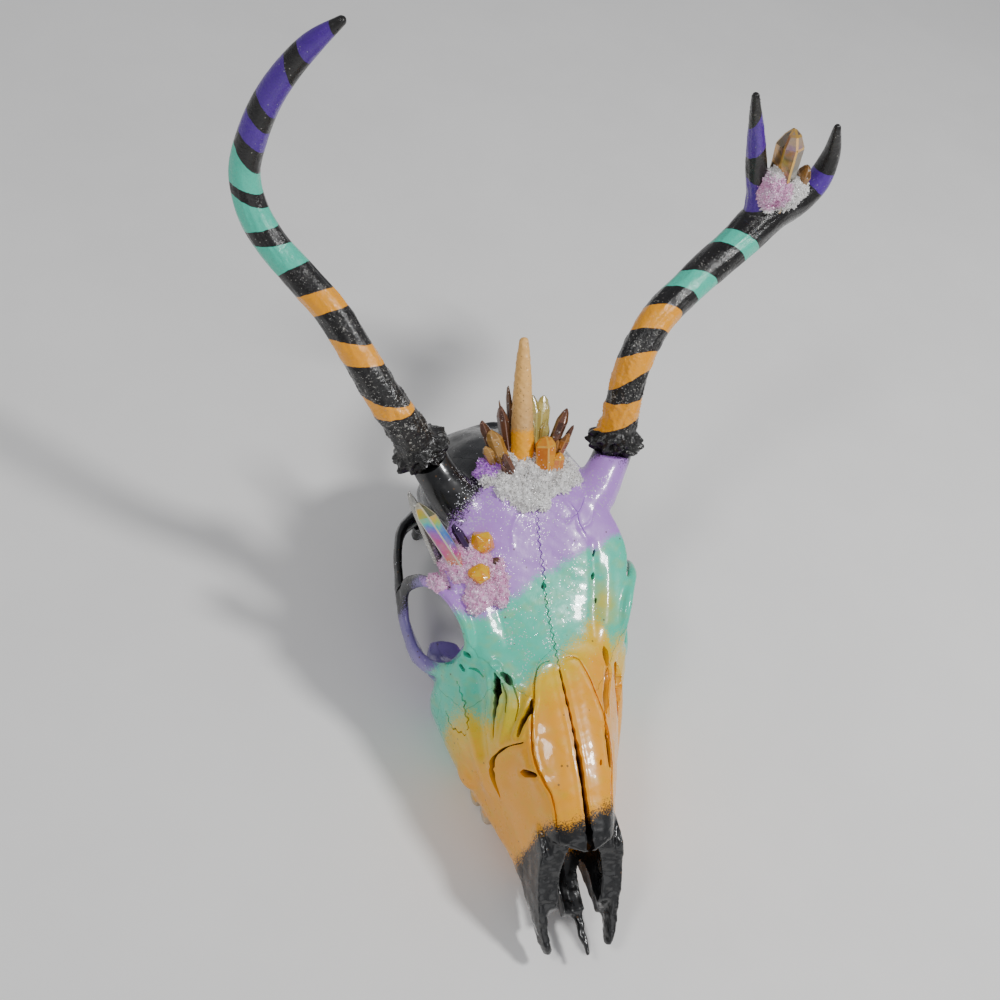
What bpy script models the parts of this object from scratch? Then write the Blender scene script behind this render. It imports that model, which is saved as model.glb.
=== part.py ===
import math

import bmesh
import bpy
import numpy as np
from mathutils import Matrix, Vector, noise

# A deer's skull without its lower jaw, lying on its cheek teeth, with painted antlers and three
# clusters of crystals. Sizes are millimetres: x to the deer's left, y back from the nose, z up from
# the surface that it lies on.
MM = 0.001
GAP = 0.32
VOXEL = 1.4
SKULL_FACES = 6500
MIDDLE = (11.2, 160.2)

# Lines that run along the skull, as (y, x, z). The cross-section at any y passes through all of them.
BODY_LINES = {
    "roof": [(34, 0, 46), (50, 0, 57), (62, 0, 63), (76, 0, 68.5), (90, 0, 72.5), (105, 0, 75.5),
             (122, 0, 78), (138, 0, 81.5), (155, 0, 87.5), (172, 0, 96), (187, 0, 103.5),
             (202, 0, 106), (218, 0, 103), (234, 0, 95), (248, 0, 83), (258, 0, 70)],
    "nasal_edge": [(34, 9, 43), (50, 11, 54), (62, 13, 59), (76, 15.5, 64), (90, 16, 68.5),
                   (105, 15, 73), (122, 15, 76.5), (138, 18, 80), (155, 22, 87), (172, 24, 95.5),
                   (187, 24, 102), (202, 21, 104.5), (218, 19, 101), (234, 18, 93), (248, 16, 82),
                   (258, 12, 69)],
    "rim": [(34, 14, 36), (50, 15, 45), (62, 17, 49), (76, 20, 54), (90, 23, 59), (105, 26, 63),
            (122, 30, 68), (138, 34, 76), (155, 40, 84), (172, 43.5, 89), (187, 38, 95),
            (202, 33, 97), (218, 31, 92), (234, 30, 84), (248, 26, 75), (258, 18, 64)],
    "side": [(34, 16.5, 29), (50, 18, 35), (62, 20.5, 39), (76, 24, 43), (90, 28, 46), (105, 32.5, 49),
             (122, 38, 53), (138, 40, 60), (155, 15, 66), (172, 16, 70), (187, 21, 72), (202, 33, 78),
             (218, 36.5, 74), (234, 35, 68), (248, 29, 62), (258, 20, 57)],
    "cheek": [(34, 17.5, 22), (50, 19.5, 25), (62, 22, 27), (76, 25.5, 28), (90, 30.5, 29),
              (105, 36.5, 30), (122, 42, 33), (138, 44, 40), (155, 17, 46), (172, 14, 50),
              (187, 17, 51), (202, 29, 55), (218, 34, 53), (234, 33, 49), (248, 26, 46), (258, 17, 45)],
    "tooth_edge": [(34, 16.5, 14), (50, 18, 14), (62, 20, 14), (76, 23, 12), (90, 27, 11),
                   (105, 31.5, 10), (122, 35, 10), (138, 36, 11), (155, 30, 14), (172, 11, 32),
                   (187, 11, 34), (202, 18, 36), (218, 25, 34), (234, 25, 33), (248, 19, 33),
                   (258, 12, 34)],
    "palate_edge": [(34, 12, 11), (50, 13, 11), (62, 15, 11), (76, 17, 10), (90, 20, 9),
                    (105, 22, 9), (122, 23, 9), (138, 23, 10), (155, 20, 13), (172, 8, 30),
                    (187, 8, 31), (202, 9, 31), (218, 11, 28), (234, 11, 26), (248, 10, 26),
                    (258, 8, 28)],
    "palate": [(34, 0, 11), (50, 0, 12), (62, 0, 13), (76, 0, 15), (90, 0, 16), (105, 0, 17),
               (122, 0, 18), (138, 0, 20), (155, 0, 26), (172, 0, 34), (187, 0, 34), (202, 0, 32),
               (218, 0, 28), (234, 0, 26), (248, 0, 26), (258, 0, 27)],
}
BODY_START, BODY_END = 34, 258

# Round bars, as (x, y, z, half width, half thickness) along their middle.
ORBIT_RIM = [(37, 138, 73, 3, 3), (39, 144, 79.5, 3, 3.2), (42, 152, 82, 3, 3.4), (45.5, 161, 81, 3, 3.4),
             (48, 168, 76, 4, 3), (50.5, 175, 66, 4.2, 2.6), (52, 178.5, 55, 4.6, 2.4),
             (51.5, 173, 45, 4.6, 2.6), (51, 164, 41.5, 4.6, 2.8), (50, 153, 42, 4.6, 3),
             (46, 144, 45, 4, 3.4), (41.5, 138.5, 54, 3.2, 3.6), (38, 137, 64, 3, 3.4),
             (37, 138, 73, 3, 3)]
ARCH = [(49, 150, 39, 5, 3), (52.5, 168, 42, 5, 2.4), (53, 180, 46.5, 5, 2.2), (52, 192, 48, 4, 2),
        (50, 204, 48.5, 4, 2), (46, 215, 48.5, 5, 2.6), (36, 223, 50, 7, 4)]
ORBIT_FLOOR = [(40, 140, 42, 8, 6), (36.5, 150, 38, 9, 3.4), (35, 159, 37, 7, 2.4)]
PEDICLE = [(24, 190, 90, 12, 11), (33, 198, 95, 11.5, 11), (40, 206.5, 101, 9.2, 9.2),
           (46, 216, 108, 8.8, 8.8)]
PREMAX_ARM = [(17.2, 52, 30, 20, 2.4), (17, 42, 24, 15, 2.3), (16, 32, 18, 9, 2.2), (15, 26, 14, 5.5, 2.1),
              (13.6, 20, 11, 2.6, 1.9)]
# The left rod is whole and the right one is broken short.
PREMAX_ROD_LEFT = [(2.9, 66, 16, 3.4, 2), (3, 46, 16, 2.6, 1.8), (3.2, 32, 14, 2.2, 1.7),
                   (3.6, 16.5, 11.5, 1.5, 1.5)]
PREMAX_ROD_RIGHT = [(-2.9, 66, 16, 3.4, 2), (-3, 46, 16, 2.6, 1.8), (-3, 37, 15, 1.8, 1.4)]
PAROCCIPITAL = [(24, 243, 42, 6, 5), (25, 245, 22, 5, 3), (24.5, 245, -2, 3.4, 2.4)]
PTERYGOID = [(10, 166, 33, 7, 1.8), (11, 172, 24, 6, 1.4), (11.5, 178, 15, 3.5, 1.2)]
BULLA = ((20, 226, 25), (8, 11, 9))
CONDYLE = ((12, 257, 37), (8, 8, 11))
OCCIPUT = ((0, 248, 56), (21, 8, 20))
NUCHAL_CREST = [(30, 237, 50, 4, 3), (27, 242.5, 64, 4, 3), (18, 246.5, 74, 4, 3), (6, 249, 79, 4.4, 3.4),
                (-3, 249, 79.5, 4.4, 3.4)]
EAR = [(24, 224, 40, 6, 6), (33, 222, 43, 5, 5), (37, 221, 44, 4.4, 4.4)]
EAR_HOLE = [(28, 223.5, 41.5, 2.4, 2.4), (42, 220, 45.5, 2.8, 2.8)]
MASTOID = [(30, 236, 52, 6, 4), (28, 241, 40, 6, 4), (24, 243, 30, 6, 4)]
TUBER = ((31.5, 103, 22), (6, 10, 8))

# Cheek teeth from front to back: length along the row, width, and the middle's x.
TEETH = [(9, 7.5, 23), (10, 9, 25.5), (10.5, 10.5, 27.5), (12.5, 12, 29), (14, 12.5, 30), (14, 12, 30)]
FIRST_TOOTH, TOOTH_ROOT = 84, 16

# Hollows and holes, as bars to cut away.
NOSTRIL = [(0, 10, 34, 18, 11.5), (0, 30, 34, 17, 10.5), (0, 46, 35, 17, 9.5), (0, 60, 39, 14, 9.5),
           (0, 80, 46, 11, 8), (0, 100, 54, 5, 4)]
CHOANA = [(0, 190, 20, 6, 7), (0, 165, 22, 7, 7), (0, 148, 26, 5, 4)]
SPINAL_HOLE = [(0, 266, 38, 9, 8), (0, 250, 40, 8, 7.5), (0, 244, 41, 6, 6)]
INCISIVE_FISSURE = [(8.2, 24, 12, 12, 3.8), (7.8, 42, 13, 12, 3.4), (7.2, 58, 13, 12, 2)]
# The upper edge of the premaxillae and the free front of the nasals, as (y, z) and (x, y) outlines to cut
# away.
NOSE_SIDE = [(-20, 120), (45.5, 120), (46.5, 53.5), (53.5, 51.5), (50, 48), (43, 38), (35, 28), (27, 19.5),
             (20, 14.5), (10, 12.5), (-20, 12.5)]
NASAL_FRONT = [(-3, 30), (3, 46.5), (7.5, 50), (10.5, 55), (11.6, 60), (24, 60), (24, 30)]
NASAL_FRONT_HEIGHTS = (50.5, 120)
VACUITY = [(30, 125, 67, 2, 1), (30.5, 118, 62, 6, 3), (29.5, 110, 56, 6, 2.6), (28, 103, 50, 2, 1)]

# Antlers, as (x, y, z, radius) from the burr to the tip, and how far the burr stands out and up.
SPIKE = [(-45, 215, 105, 8.6), (-58, 221, 123, 8.2), (-66, 227, 132, 7.8), (-78, 240, 147, 7.4),
         (-88, 252, 158, 7.2), (-100, 264, 166, 7), (-111, 275, 174, 6.8), (-119, 284, 185, 6.6),
         (-122, 290, 198, 6.4), (-120, 292, 213, 6.2), (-116, 293, 228, 5.8), (-109, 292, 245, 5.2),
         (-101, 289, 260, 4.2), (-93, 286, 271, 2)]
BEAM = [(45, 215, 105, 8.6), (46, 223, 121, 8), (49, 234, 140, 7.8), (60, 248, 155, 7.8),
        (79, 262, 164, 8), (103, 277, 175, 8.8), (121, 288, 185, 9.2), (136, 294, 188, 7.4),
        (144, 297, 196, 6.2), (146, 299, 208, 4.6), (141, 298, 226, 1.8)]
INNER_TINE = [(112, 284, 182, 6), (110, 288, 196, 5.6), (105, 289, 206, 5), (98, 289, 222, 4.2),
              (86, 287, 248, 1.8)]
BURR_REACH, BURR_HEIGHT = 5.2, 9
FORK_CUT = ((108, 280, 177.5), (0.8, 0.5, 0.33))
TINE_CUT = ((122, 289, 194), (0.9, 0.1, -0.42))

# The tine that stands on the crown, as (x, y, z, radius).
CROWN_TINE = [(0, 206, 98, 5), (-0.5, 216, 109, 4.6), (-1, 228, 123, 3.6), (-1, 240, 137, 2.4),
              (-1, 247, 145, 1)]

# Beds of tiny crystals, as discs of (x, y, z, radius) that lumps are spread over. The fork is also filled
# by mounds of (x, y, z, radius x, radius y, radius z).
CROWN_BED = [(-2, 199, 105, 14), (-17, 205, 103, 6), (12, 203, 104, 11), (0, 211, 103, 11)]
BROW_BED = [(-34, 168, 90, 9), (-26, 160, 90, 9), (-43, 166, 82, 6), (-31, 152, 86, 6), (-22, 152, 88, 4)]
FORK_BED = [(116, 285, 194, 6), (124, 288, 194, 5)]
FORK_MOUNDS = [(111.5, 284, 203, 6, 6.5, 10), (119, 284, 201, 8, 7.5, 8.5), (126, 287, 200, 6.5, 6, 6)]
LUMP_RADIUS, LUMP_SPACING = 3.4, 3.4
BED_FACES = 300

# Crystals of each bed: name, foot, direction, length, half width, and how flat it is.
CROWN_CRYSTALS = [
    ("brown_left", (-11, 209, 102), (-0.38, 0.61, 0.69), 23.5, 2.4, 0.8),
    ("tan_left", (-9, 206, 103), (-0.37, 0.61, 0.7), 20.7, 3.6, 0.7),
    ("brown_back", (-6, 212, 101), (-0.15, 0.65, 0.74), 26.4, 2.6, 0.8),
    ("thin_back", (-4, 215, 101), (-0.06, 0.66, 0.75), 33, 1.8, 0.8),
    ("clear_back", (5, 213, 101), (0, 0.66, 0.75), 30, 3.6, 0.6),
    ("clear_right", (9, 214, 101), (0.06, 0.66, 0.75), 29, 3, 0.7),
    ("brown_right", (10, 209, 102), (0.37, 0.61, 0.7), 28, 2.5, 0.8),
    ("bronze_right", (12, 206, 103), (0.46, 0.59, 0.67), 18.4, 2.6, 0.8),
    ("amber_right", (8, 202, 104), (0, 0.66, 0.75), 17, 4.4, 0.7),
    ("brown_front", (-6, 200, 104), (-0.5, 0.4, 0.77), 15, 1.9, 0.8),
]
BROW_CRYSTALS = [
    ("rainbow", (-36, 167, 88), (-0.55, 0.55, 0.63), 35, 4.2, 0.9),
    ("silver", (-43, 174, 82), (-0.38, 0.6, 0.68), 35, 2.2, 0.8),
    ("purple", (-30.5, 169, 91), (-0.5, 0.57, 0.65), 16, 2, 0.85),
    ("yellow_back", (-26, 171, 92), (-0.05, 0.5, 0.86), 10, 5, 0.85),
    ("yellow_front", (-29.5, 160, 88), (-0.05, 0.1, 0.99), 7, 4.4, 0.9),
    ("brown_small", (-23, 163, 90), (0.4, 0.5, 0.77), 6, 2, 0.8),
]
FORK_CRYSTALS = [
    ("bronze", (120, 287, 190), (-0.19, 0, 0.98), 43.5, 7.4, 0.75),
    ("dark", (127, 287, 192), (0.05, 0, 1), 21, 3.6, 0.7),
]

# Where the bones part, as (y, z) or (x, y) outlines of the space that each one fills.
NASAL_EDGE = [(30, 10), (44, 10.8), (56, 12), (70, 13.4), (80, 16.4), (92, 17), (104, 15), (116, 12),
              (123, 8), (127, 2)]
NASAL_DEPTH = 7.5
CELL_TOP = 140
PREMAX_SIDE = [(0, -5), (44, -5), (47, 14), (56, 30), (61, 70), (0, 70)]
FRONTAL_TOP = [(-1, 100), (14, 108), (22, 116), (29, 127), (34, 134), (39, 138.5), (62, 139), (70, 230),
               (40, 232), (27, 222), (20, 213), (10, 207), (-1, 206)]
FRONTAL_LOW = 67
LACRIMAL_SIDE = [(117, 50), (131, 45), (146, 48), (150, 80), (118, 80)]
ZYGOMATIC_SIDE = [(126, 27), (134, 22), (150, 26), (187, 26), (181, 48), (184, 80), (150, 80), (138, 52),
                  (128, 42)]
FACE_SIDE = [(0, -5), (160, -5), (163, 14), (176, 30), (196, 95), (196, 140), (0, 140)]


def through(knots, values, at):
    """A smooth curve through values at knots, read at the places in at."""
    knots, values = np.asarray(knots, float), np.asarray(values, float)
    steps = np.diff(knots)[:, None]
    slope = np.diff(values, axis=0) / steps
    tangent = np.concatenate([slope[:1], (slope[:-1] * steps[1:] + slope[1:] * steps[:-1])
                              / (steps[:-1] + steps[1:]), slope[-1:]])
    at = np.clip(at, knots[0], knots[-1])
    i = np.clip(np.searchsorted(knots, at, side="right") - 1, 0, len(knots) - 2)
    width = steps[i]
    t = (at - knots[i])[:, None] / width
    return (values[i] * (1 + 2 * t) * (1 - t) ** 2 + values[i + 1] * t * t * (3 - 2 * t)
            + tangent[i] * width * t * (1 - t) ** 2 - tangent[i + 1] * width * t * t * (1 - t))


def curve_through(points, count):
    points = np.asarray(points, float)
    far = np.linalg.norm(np.diff(points[:, :3], axis=0), axis=1)
    knots = np.concatenate([[0], np.cumsum(far)])
    return through(knots, points, np.linspace(0, knots[-1], count))


def new_object(name, corners, faces):
    """A mesh object from corners in millimetres, with its faces turned outwards."""
    mesh = bpy.data.meshes.new(name)
    mesh.from_pydata([tuple(corner) for corner in np.asarray(corners) * MM], [], faces)
    shape = bmesh.new()
    shape.from_mesh(mesh)
    bmesh.ops.recalc_face_normals(shape, faces=shape.faces)
    shape.to_mesh(mesh)
    shape.free()
    made = bpy.data.objects.new(name, mesh)
    bpy.context.scene.collection.objects.link(made)
    return made


def skin_rings(name, rings):
    """A closed body through rings of equal length, with a cap on each end."""
    around = len(rings[0])
    faces = []
    for ring in range(len(rings) - 1):
        for a in range(around):
            b = (a + 1) % around
            low, high = ring * around, (ring + 1) * around
            faces.append([low + a, low + b, high + b, high + a])
    faces.append(list(range(around)))
    faces.append([(len(rings) - 1) * around + a for a in range(around)])
    return new_object(name, np.concatenate(rings), faces)


def body_loft(name, lines, low, high, stations=72, around=44):
    y = np.linspace(low, high, stations)
    tracks = []
    for line in lines.values():
        line = np.array(line, float)
        tracks.append(through(line[:, 0], line[:, 1:], y))
    rings = []
    for s in range(stations):
        half = np.array([track[s] for track in tracks])
        ring = np.concatenate([half, (half * [-1, 1])[-2:0:-1]])
        closed = np.concatenate([ring[-3:], ring, ring[:4]])
        far = np.linalg.norm(np.diff(closed, axis=0), axis=1)
        knots = np.concatenate([[0], np.cumsum(far)])
        xz = through(knots, closed, np.linspace(knots[3], knots[-4], around, endpoint=False))
        rings.append(np.column_stack([xz[:, 0], np.full(around, y[s]), xz[:, 1]]))
    return skin_rings(name, rings)


def bar(name, path, flat=(1, 0, 0), count=24, around=14, round_power=1.0):
    """A rounded bar along path. Its half thickness lies along flat, and its half width across it.
    A round power below 1 squares its section."""
    path = curve_through(path, count)
    centre, size = path[:, :3], path[:, 3:]
    ahead = np.gradient(centre, axis=0)
    ahead /= np.linalg.norm(ahead, axis=1)[:, None]
    flat = np.asarray(flat, float)
    turn = np.linspace(0, 2 * math.pi, around, endpoint=False)
    across = np.sign(np.cos(turn)) * abs(np.cos(turn)) ** round_power
    along = np.sign(np.sin(turn)) * abs(np.sin(turn)) ** round_power
    rings = []
    for c, a, s in zip(centre, ahead, size):
        thick = flat - a * (flat @ a)
        thick /= np.linalg.norm(thick)
        wide = np.cross(a, thick)
        rings.append(c + np.outer(across * s[0], wide) + np.outer(along * s[1], thick))
    return skin_rings(name, rings)


def blob(name, centre, radii, fineness=3):
    shape = bmesh.new()
    bmesh.ops.create_icosphere(shape, subdivisions=fineness, radius=1)
    corners = [Vector(centre) + Vector(c * r for c, r in zip(v.co, radii)) for v in shape.verts]
    faces = [[v.index for v in face.verts] for face in shape.faces]
    shape.free()
    return new_object(name, corners, faces)


def mirrored(source, name):
    copy = bpy.data.objects.new(name, source.data.copy())
    copy.data.transform(Matrix.Diagonal((-1, 1, 1, 1)))
    copy.data.flip_normals()
    bpy.context.scene.collection.objects.link(copy)
    return copy


def both_sides(make, name, *sizes, **more):
    made = make(name + "_left", *sizes, **more)
    return [made, mirrored(made, name + "_right")]


def settle(target):
    """Turns what the modifiers make of an object into its mesh."""
    graph = bpy.context.evaluated_depsgraph_get()
    mesh = bpy.data.meshes.new_from_object(target.evaluated_get(graph), depsgraph=graph)
    target.modifiers.clear()
    target.data = mesh


def keep_largest(target):
    shape = bmesh.new()
    shape.from_mesh(target.data)
    left = set(shape.verts)
    groups = []
    while left:
        group, edge = set(), [left.pop()]
        while edge:
            vert = edge.pop()
            group.add(vert)
            for link in vert.link_edges:
                other = link.other_vert(vert)
                if other in left:
                    left.discard(other)
                    edge.append(other)
        groups.append(group)
    groups.sort(key=len)
    scraps = [vert for group in groups[:-1] for vert in group]
    bmesh.ops.delete(shape, geom=scraps, context="VERTS")
    shape.to_mesh(target.data)
    shape.free()


def combine(target, others, operation, solver="EXACT"):
    """Joins, cuts or intersects target with each of the others, and removes them."""
    group = bpy.data.collections.new("group")
    for other in others:
        group.objects.link(other)
    step = target.modifiers.new("Combine", "BOOLEAN")
    step.operand_type = "COLLECTION"
    step.collection = group
    step.operation = operation
    step.solver = solver
    settle(target)
    for other in others:
        bpy.data.objects.remove(other, do_unlink=True)
    bpy.data.collections.remove(group)
    return target


def thinned(target, faces):
    """Fewer triangles for the same shape."""
    target.data.calc_loop_triangles()
    ease = target.modifiers.new("Thin", "DECIMATE")
    ease.ratio = faces / len(target.data.loop_triangles)
    settle(target)


def fused(name, pieces, voxel, smoothing):
    """One body from overlapping pieces, with its joins eased."""
    made = pieces[0]
    with bpy.context.temp_override(active_object=made, object=made, selected_objects=pieces,
                                   selected_editable_objects=pieces):
        bpy.ops.object.join()
    made.name = name
    fuse = made.modifiers.new("Fuse", "REMESH")
    fuse.mode = "VOXEL"
    fuse.voxel_size = voxel * MM
    ease = made.modifiers.new("Ease", "SMOOTH")
    ease.iterations = smoothing
    ease.factor = 0.5
    settle(made)
    keep_largest(made)
    return made


def copied(source, name, grow=0.0):
    """A copy, with its surface moved out by grow."""
    copy = bpy.data.objects.new(name, source.data.copy())
    bpy.context.scene.collection.objects.link(copy)
    corners, normals = (np.empty(len(copy.data.vertices) * 3) for _ in range(2))
    copy.data.vertices.foreach_get("co", corners)
    copy.data.vertices.foreach_get("normal", normals)
    copy.data.vertices.foreach_set("co", corners + normals * grow * MM)
    copy.data.update()
    return copy


def tooth_row():
    row = []
    front = FIRST_TOOTH
    for length, width, middle in TEETH:
        lobes = 1 if length < 12 else 2
        for lobe in range(lobes):
            y = front + length * (lobe + 0.5) / lobes
            half = length / lobes / 2
            path = [(middle, y, TOOTH_ROOT, width / 2, half + 0.2),
                    (middle + 0.6, y, 6, width / 2, half + 0.3),
                    (middle + 0.3, y, -2, width / 2 - 1.2, half - 0.5)]
            row += both_sides(bar, "tooth", path, flat=(0, 1, 0), count=8, round_power=0.6)
        front += length
    return row


def whole_skull():
    pieces = [body_loft("body", BODY_LINES, BODY_START, BODY_END)]
    bars = {"orbit_rim": ORBIT_RIM, "arch": ARCH, "pedicle": PEDICLE, "premax_arm": PREMAX_ARM,
            "paroccipital": PAROCCIPITAL, "pterygoid": PTERYGOID, "nuchal_crest": NUCHAL_CREST, "ear": EAR,
            "mastoid": MASTOID}
    for name, path in bars.items():
        pieces += both_sides(bar, name, path, count=56 if name == "orbit_rim" else 24)
    pieces += both_sides(bar, "orbit_floor", ORBIT_FLOOR, flat=(0, 0, 1))
    pieces += [bar("rod_left", PREMAX_ROD_LEFT), bar("rod_right", PREMAX_ROD_RIGHT)]
    for name, (centre, radii) in (("bulla", BULLA), ("condyle", CONDYLE), ("tuber", TUBER)):
        pieces += both_sides(blob, name, centre, radii)
    pieces.append(blob("occiput", *OCCIPUT))
    pieces += tooth_row()
    skull = fused("skull", pieces, VOXEL, 4)
    hollows = [bar("nostril", NOSTRIL), bar("choana", CHOANA), bar("spinal_hole", SPINAL_HOLE)]
    hollows += [prism("nose", NOSE_SIDE, 0, (-60, 60))]
    hollows += both_sides(prism, "nasal_front", NASAL_FRONT, 2, NASAL_FRONT_HEIGHTS)
    hollows += both_sides(bar, "fissure", INCISIVE_FISSURE)
    hollows += both_sides(bar, "vacuity", VACUITY)
    hollows += both_sides(bar, "ear_hole", EAR_HOLE)
    return skull, hollows


def block(name, x, y, z):
    corners = [(a, b, c) for a in x for b in y for c in z]
    sides = [(0, 1, 3, 2), (4, 6, 7, 5), (0, 4, 5, 1), (2, 3, 7, 6), (0, 2, 6, 4), (1, 5, 7, 3)]
    return new_object(name, corners, sides)


def prism(name, outline, axis, span, grow=0.0):
    """A straight-sided solid over an outline, along one axis, with all its sides moved out by grow."""
    outline = np.array(outline, float)
    ahead = np.roll(outline, -1, axis=0) - outline
    ahead /= np.linalg.norm(ahead, axis=1)[:, None]
    area = np.sum(outline[:, 0] * np.roll(outline[:, 1], -1) - np.roll(outline[:, 0], -1) * outline[:, 1])
    out = np.column_stack([ahead[:, 1], -ahead[:, 0]]) * math.copysign(1, area)
    corner = out + np.roll(out, 1, axis=0)
    corner *= 2 / np.sum(corner * corner, axis=1)[:, None]
    outline = outline + corner * grow
    rings = [np.insert(outline, axis, end, axis=1) for end in (span[0] - grow, span[1] + grow)]
    return skin_rings(name, rings)


def nasal_cell(name, grow):
    """The space of one nasal bone: as wide as the bone and from its underside up."""
    y = np.linspace(NASAL_EDGE[0][0], NASAL_EDGE[-1][0] + grow, 40)
    edge = np.array(NASAL_EDGE, float)
    width = through(edge[:, 0], edge[:, 1:], y)[:, 0]
    roof = np.array(BODY_LINES["roof"], float)
    top = through(roof[:, 0], roof[:, 2:], y)[:, 0]
    rings = []
    for at, wide, high in zip(y, width, top):
        low = high - NASAL_DEPTH - grow
        edge = wide + grow
        corners = [(-grow, at, low), (edge, at, low), (edge, at, CELL_TOP), (-grow, at, CELL_TOP)]
        rings.append(np.array(corners))
    return skin_rings(name, rings)


def part_bones(skull):
    """Parts the skull into its bones, with a gap between them. What is left is the braincase."""
    cells = {
        "nasal": lambda grow: nasal_cell("cell", grow),
        "frontal": lambda grow: prism("cell", FRONTAL_TOP, 2, (FRONTAL_LOW, 200), grow),
        "premaxilla": lambda grow: prism("cell", PREMAX_SIDE, 0, (4.8, 60), grow),
        "lacrimal": lambda grow: prism("cell", LACRIMAL_SIDE, 0, (14, 60), grow),
        "zygomatic": lambda grow: prism("cell", ZYGOMATIC_SIDE, 0, (39, 80), grow),
        "maxilla": lambda grow: prism("cell", FACE_SIDE, 0, (0, 80), grow),
    }
    bones = []
    for kind, cell in cells.items():
        for side in ("left", "right"):
            inner, outer = cell(-GAP / 2), cell(GAP / 2)
            if side == "right":
                for half in (inner, outer):
                    half.data.transform(Matrix.Diagonal((-1, 1, 1, 1)))
                    half.data.flip_normals()
            bone = copied(skull, f"{kind}_{side}")
            combine(bone, [inner], "INTERSECT", "MANIFOLD")
            combine(skull, [outer], "DIFFERENCE", "MANIFOLD")
            keep_largest(bone)
            bones.append(bone)
    skull.name = "braincase"
    keep_largest(skull)
    return bones + [skull]


def half_space(point, facing, shift=0.0):
    """A block that fills everything beyond a plane, in the direction of facing."""
    facing = Vector(facing).normalized()
    made = block("half_space", (-400, 400), (-400, 400), (0, 800))
    turn = facing.to_track_quat("Z", "Y").to_matrix().to_4x4()
    made.data.transform(Matrix.Translation((Vector(point) + facing * shift) * MM) @ turn)
    return made


def antler(name, path, count, around, burr=True):
    """A beam through path. Its first few rings swell into the knobbly burr."""
    path = curve_through(path, count)
    if burr:
        base = path[0, :3]
        ahead = path[1, :3] - base
        ahead /= np.linalg.norm(ahead)
        rises = np.linspace(0, BURR_HEIGHT, 6)[:-1]
        stack = [np.append(base + ahead * rise, path[0, 3]) for rise in rises]
        far = np.linalg.norm(path[:, :3] - base, axis=1)
        path = np.concatenate([stack, path[far > BURR_HEIGHT]])
    ahead = path[-1, :3] - path[-2, :3]
    ahead /= np.linalg.norm(ahead)
    tip = path[-1].copy()
    for turn in (40, 75):
        turn = math.radians(turn)
        ring = np.append(tip[:3] + ahead * tip[3] * math.sin(turn), tip[3] * math.cos(turn))
        path = np.vstack([path, ring])
    centre, radius = path[:, :3], path[:, 3]
    ahead = np.gradient(centre, axis=0)
    ahead /= np.linalg.norm(ahead, axis=1)[:, None]
    flat = np.array((0.3, -0.8, 0.5))
    turn = np.linspace(0, 2 * math.pi, around, endpoint=False)
    rings = []
    for c, a, r in zip(centre, ahead, radius):
        thick = flat - a * (flat @ a)
        thick /= np.linalg.norm(thick)
        spoke = np.outer(np.cos(turn), np.cross(a, thick)) + np.outer(np.sin(turn), thick)
        rise = np.linalg.norm(c - centre[0]) / BURR_HEIGHT
        flare = BURR_REACH * math.exp(-((rise - 0.42) / 0.38) ** 4) if burr else 0
        knob = np.array([noise.noise(Vector(s * 2.2) + Vector((0, 0, rise * 1.6))) for s in spoke])
        rings.append(c + spoke * (r + flare * (1 + 0.7 * knob) + 0.25 * knob)[:, None])
    return skin_rings(name, rings)


def crystal(name, foot, towards, length, half, flatness, seed):
    """A six-sided crystal with a slanted point, standing on foot."""
    towards = Vector(towards).normalized()
    turn = towards.to_track_quat("Z", "Y").to_matrix() @ Matrix.Rotation(seed * 0.7, 3, "Z")
    rings = []
    for part, wide in ((0, 0.95), (0.78, 1), (0.92, 0.6), (1, 0.12)):
        ring = []
        for side in range(6):
            angle = side * math.pi / 3
            reach = half * wide * (1 + 0.12 * math.sin(seed * 3 + side * 2.1))
            slant = 0.05 * length * math.cos(angle + seed) if 0.5 < part < 1 else 0
            depth = math.sin(angle) * reach * flatness
            local = Vector((math.cos(angle) * reach, depth, part * length + slant))
            ring.append(Vector(foot) + turn @ local)
        rings.append(np.array([tuple(corner) for corner in ring]))
    return skin_rings(name, rings)


def nearest(seats, point):
    """The point nearest to a given one on any of the seats, in millimetres."""
    found = [seat.closest_point_on_mesh(Vector(point) * MM)[1] / MM for seat in seats]
    return min(found, key=lambda place: (place - Vector(point)).length)


def bed(name, discs, mounds, seats):
    """A bed of tiny crystals: many small lumps that run together over what carries them."""
    lumps = []
    for x, y, z, reach in discs:
        count = max(3, round((reach / LUMP_SPACING) ** 2 * 3))
        for i in range(count):
            out, turn = reach * math.sqrt((i + 0.5) / count), i * 2.4
            foot = nearest(seats, (x + out * math.cos(turn), y + out * math.sin(turn), z))
            size = LUMP_RADIUS * (1 + 0.35 * noise.noise(foot * 0.37))
            lumps.append(blob(name, foot, (size, size, size), 2))
    lumps += [blob(name, mound[:3], mound[3:]) for mound in mounds]
    made = fused(name, lumps, 0.9, 1)
    thinned(made, BED_FACES)
    return made


def cluster(kind, crystals, discs, mounds, seats):
    """Crystals standing in their bed, clear of the bones that carry them and of each other."""
    placed = []
    for seed, (name, *sizes) in enumerate(crystals):
        made = crystal(f"{kind}_crystal_{name}", *sizes, seed)
        for other in list(seats) + placed:
            combine(made, [copied(other, "other", GAP)], "DIFFERENCE", "MANIFOLD")
        keep_largest(made)
        placed.append(made)
    made = bed(f"{kind}_bed", discs, mounds, seats)
    for seat in list(seats) + placed:
        combine(made, [copied(seat, "seat", GAP)], "DIFFERENCE", "MANIFOLD")
    keep_largest(made)
    return placed + [made]


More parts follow.
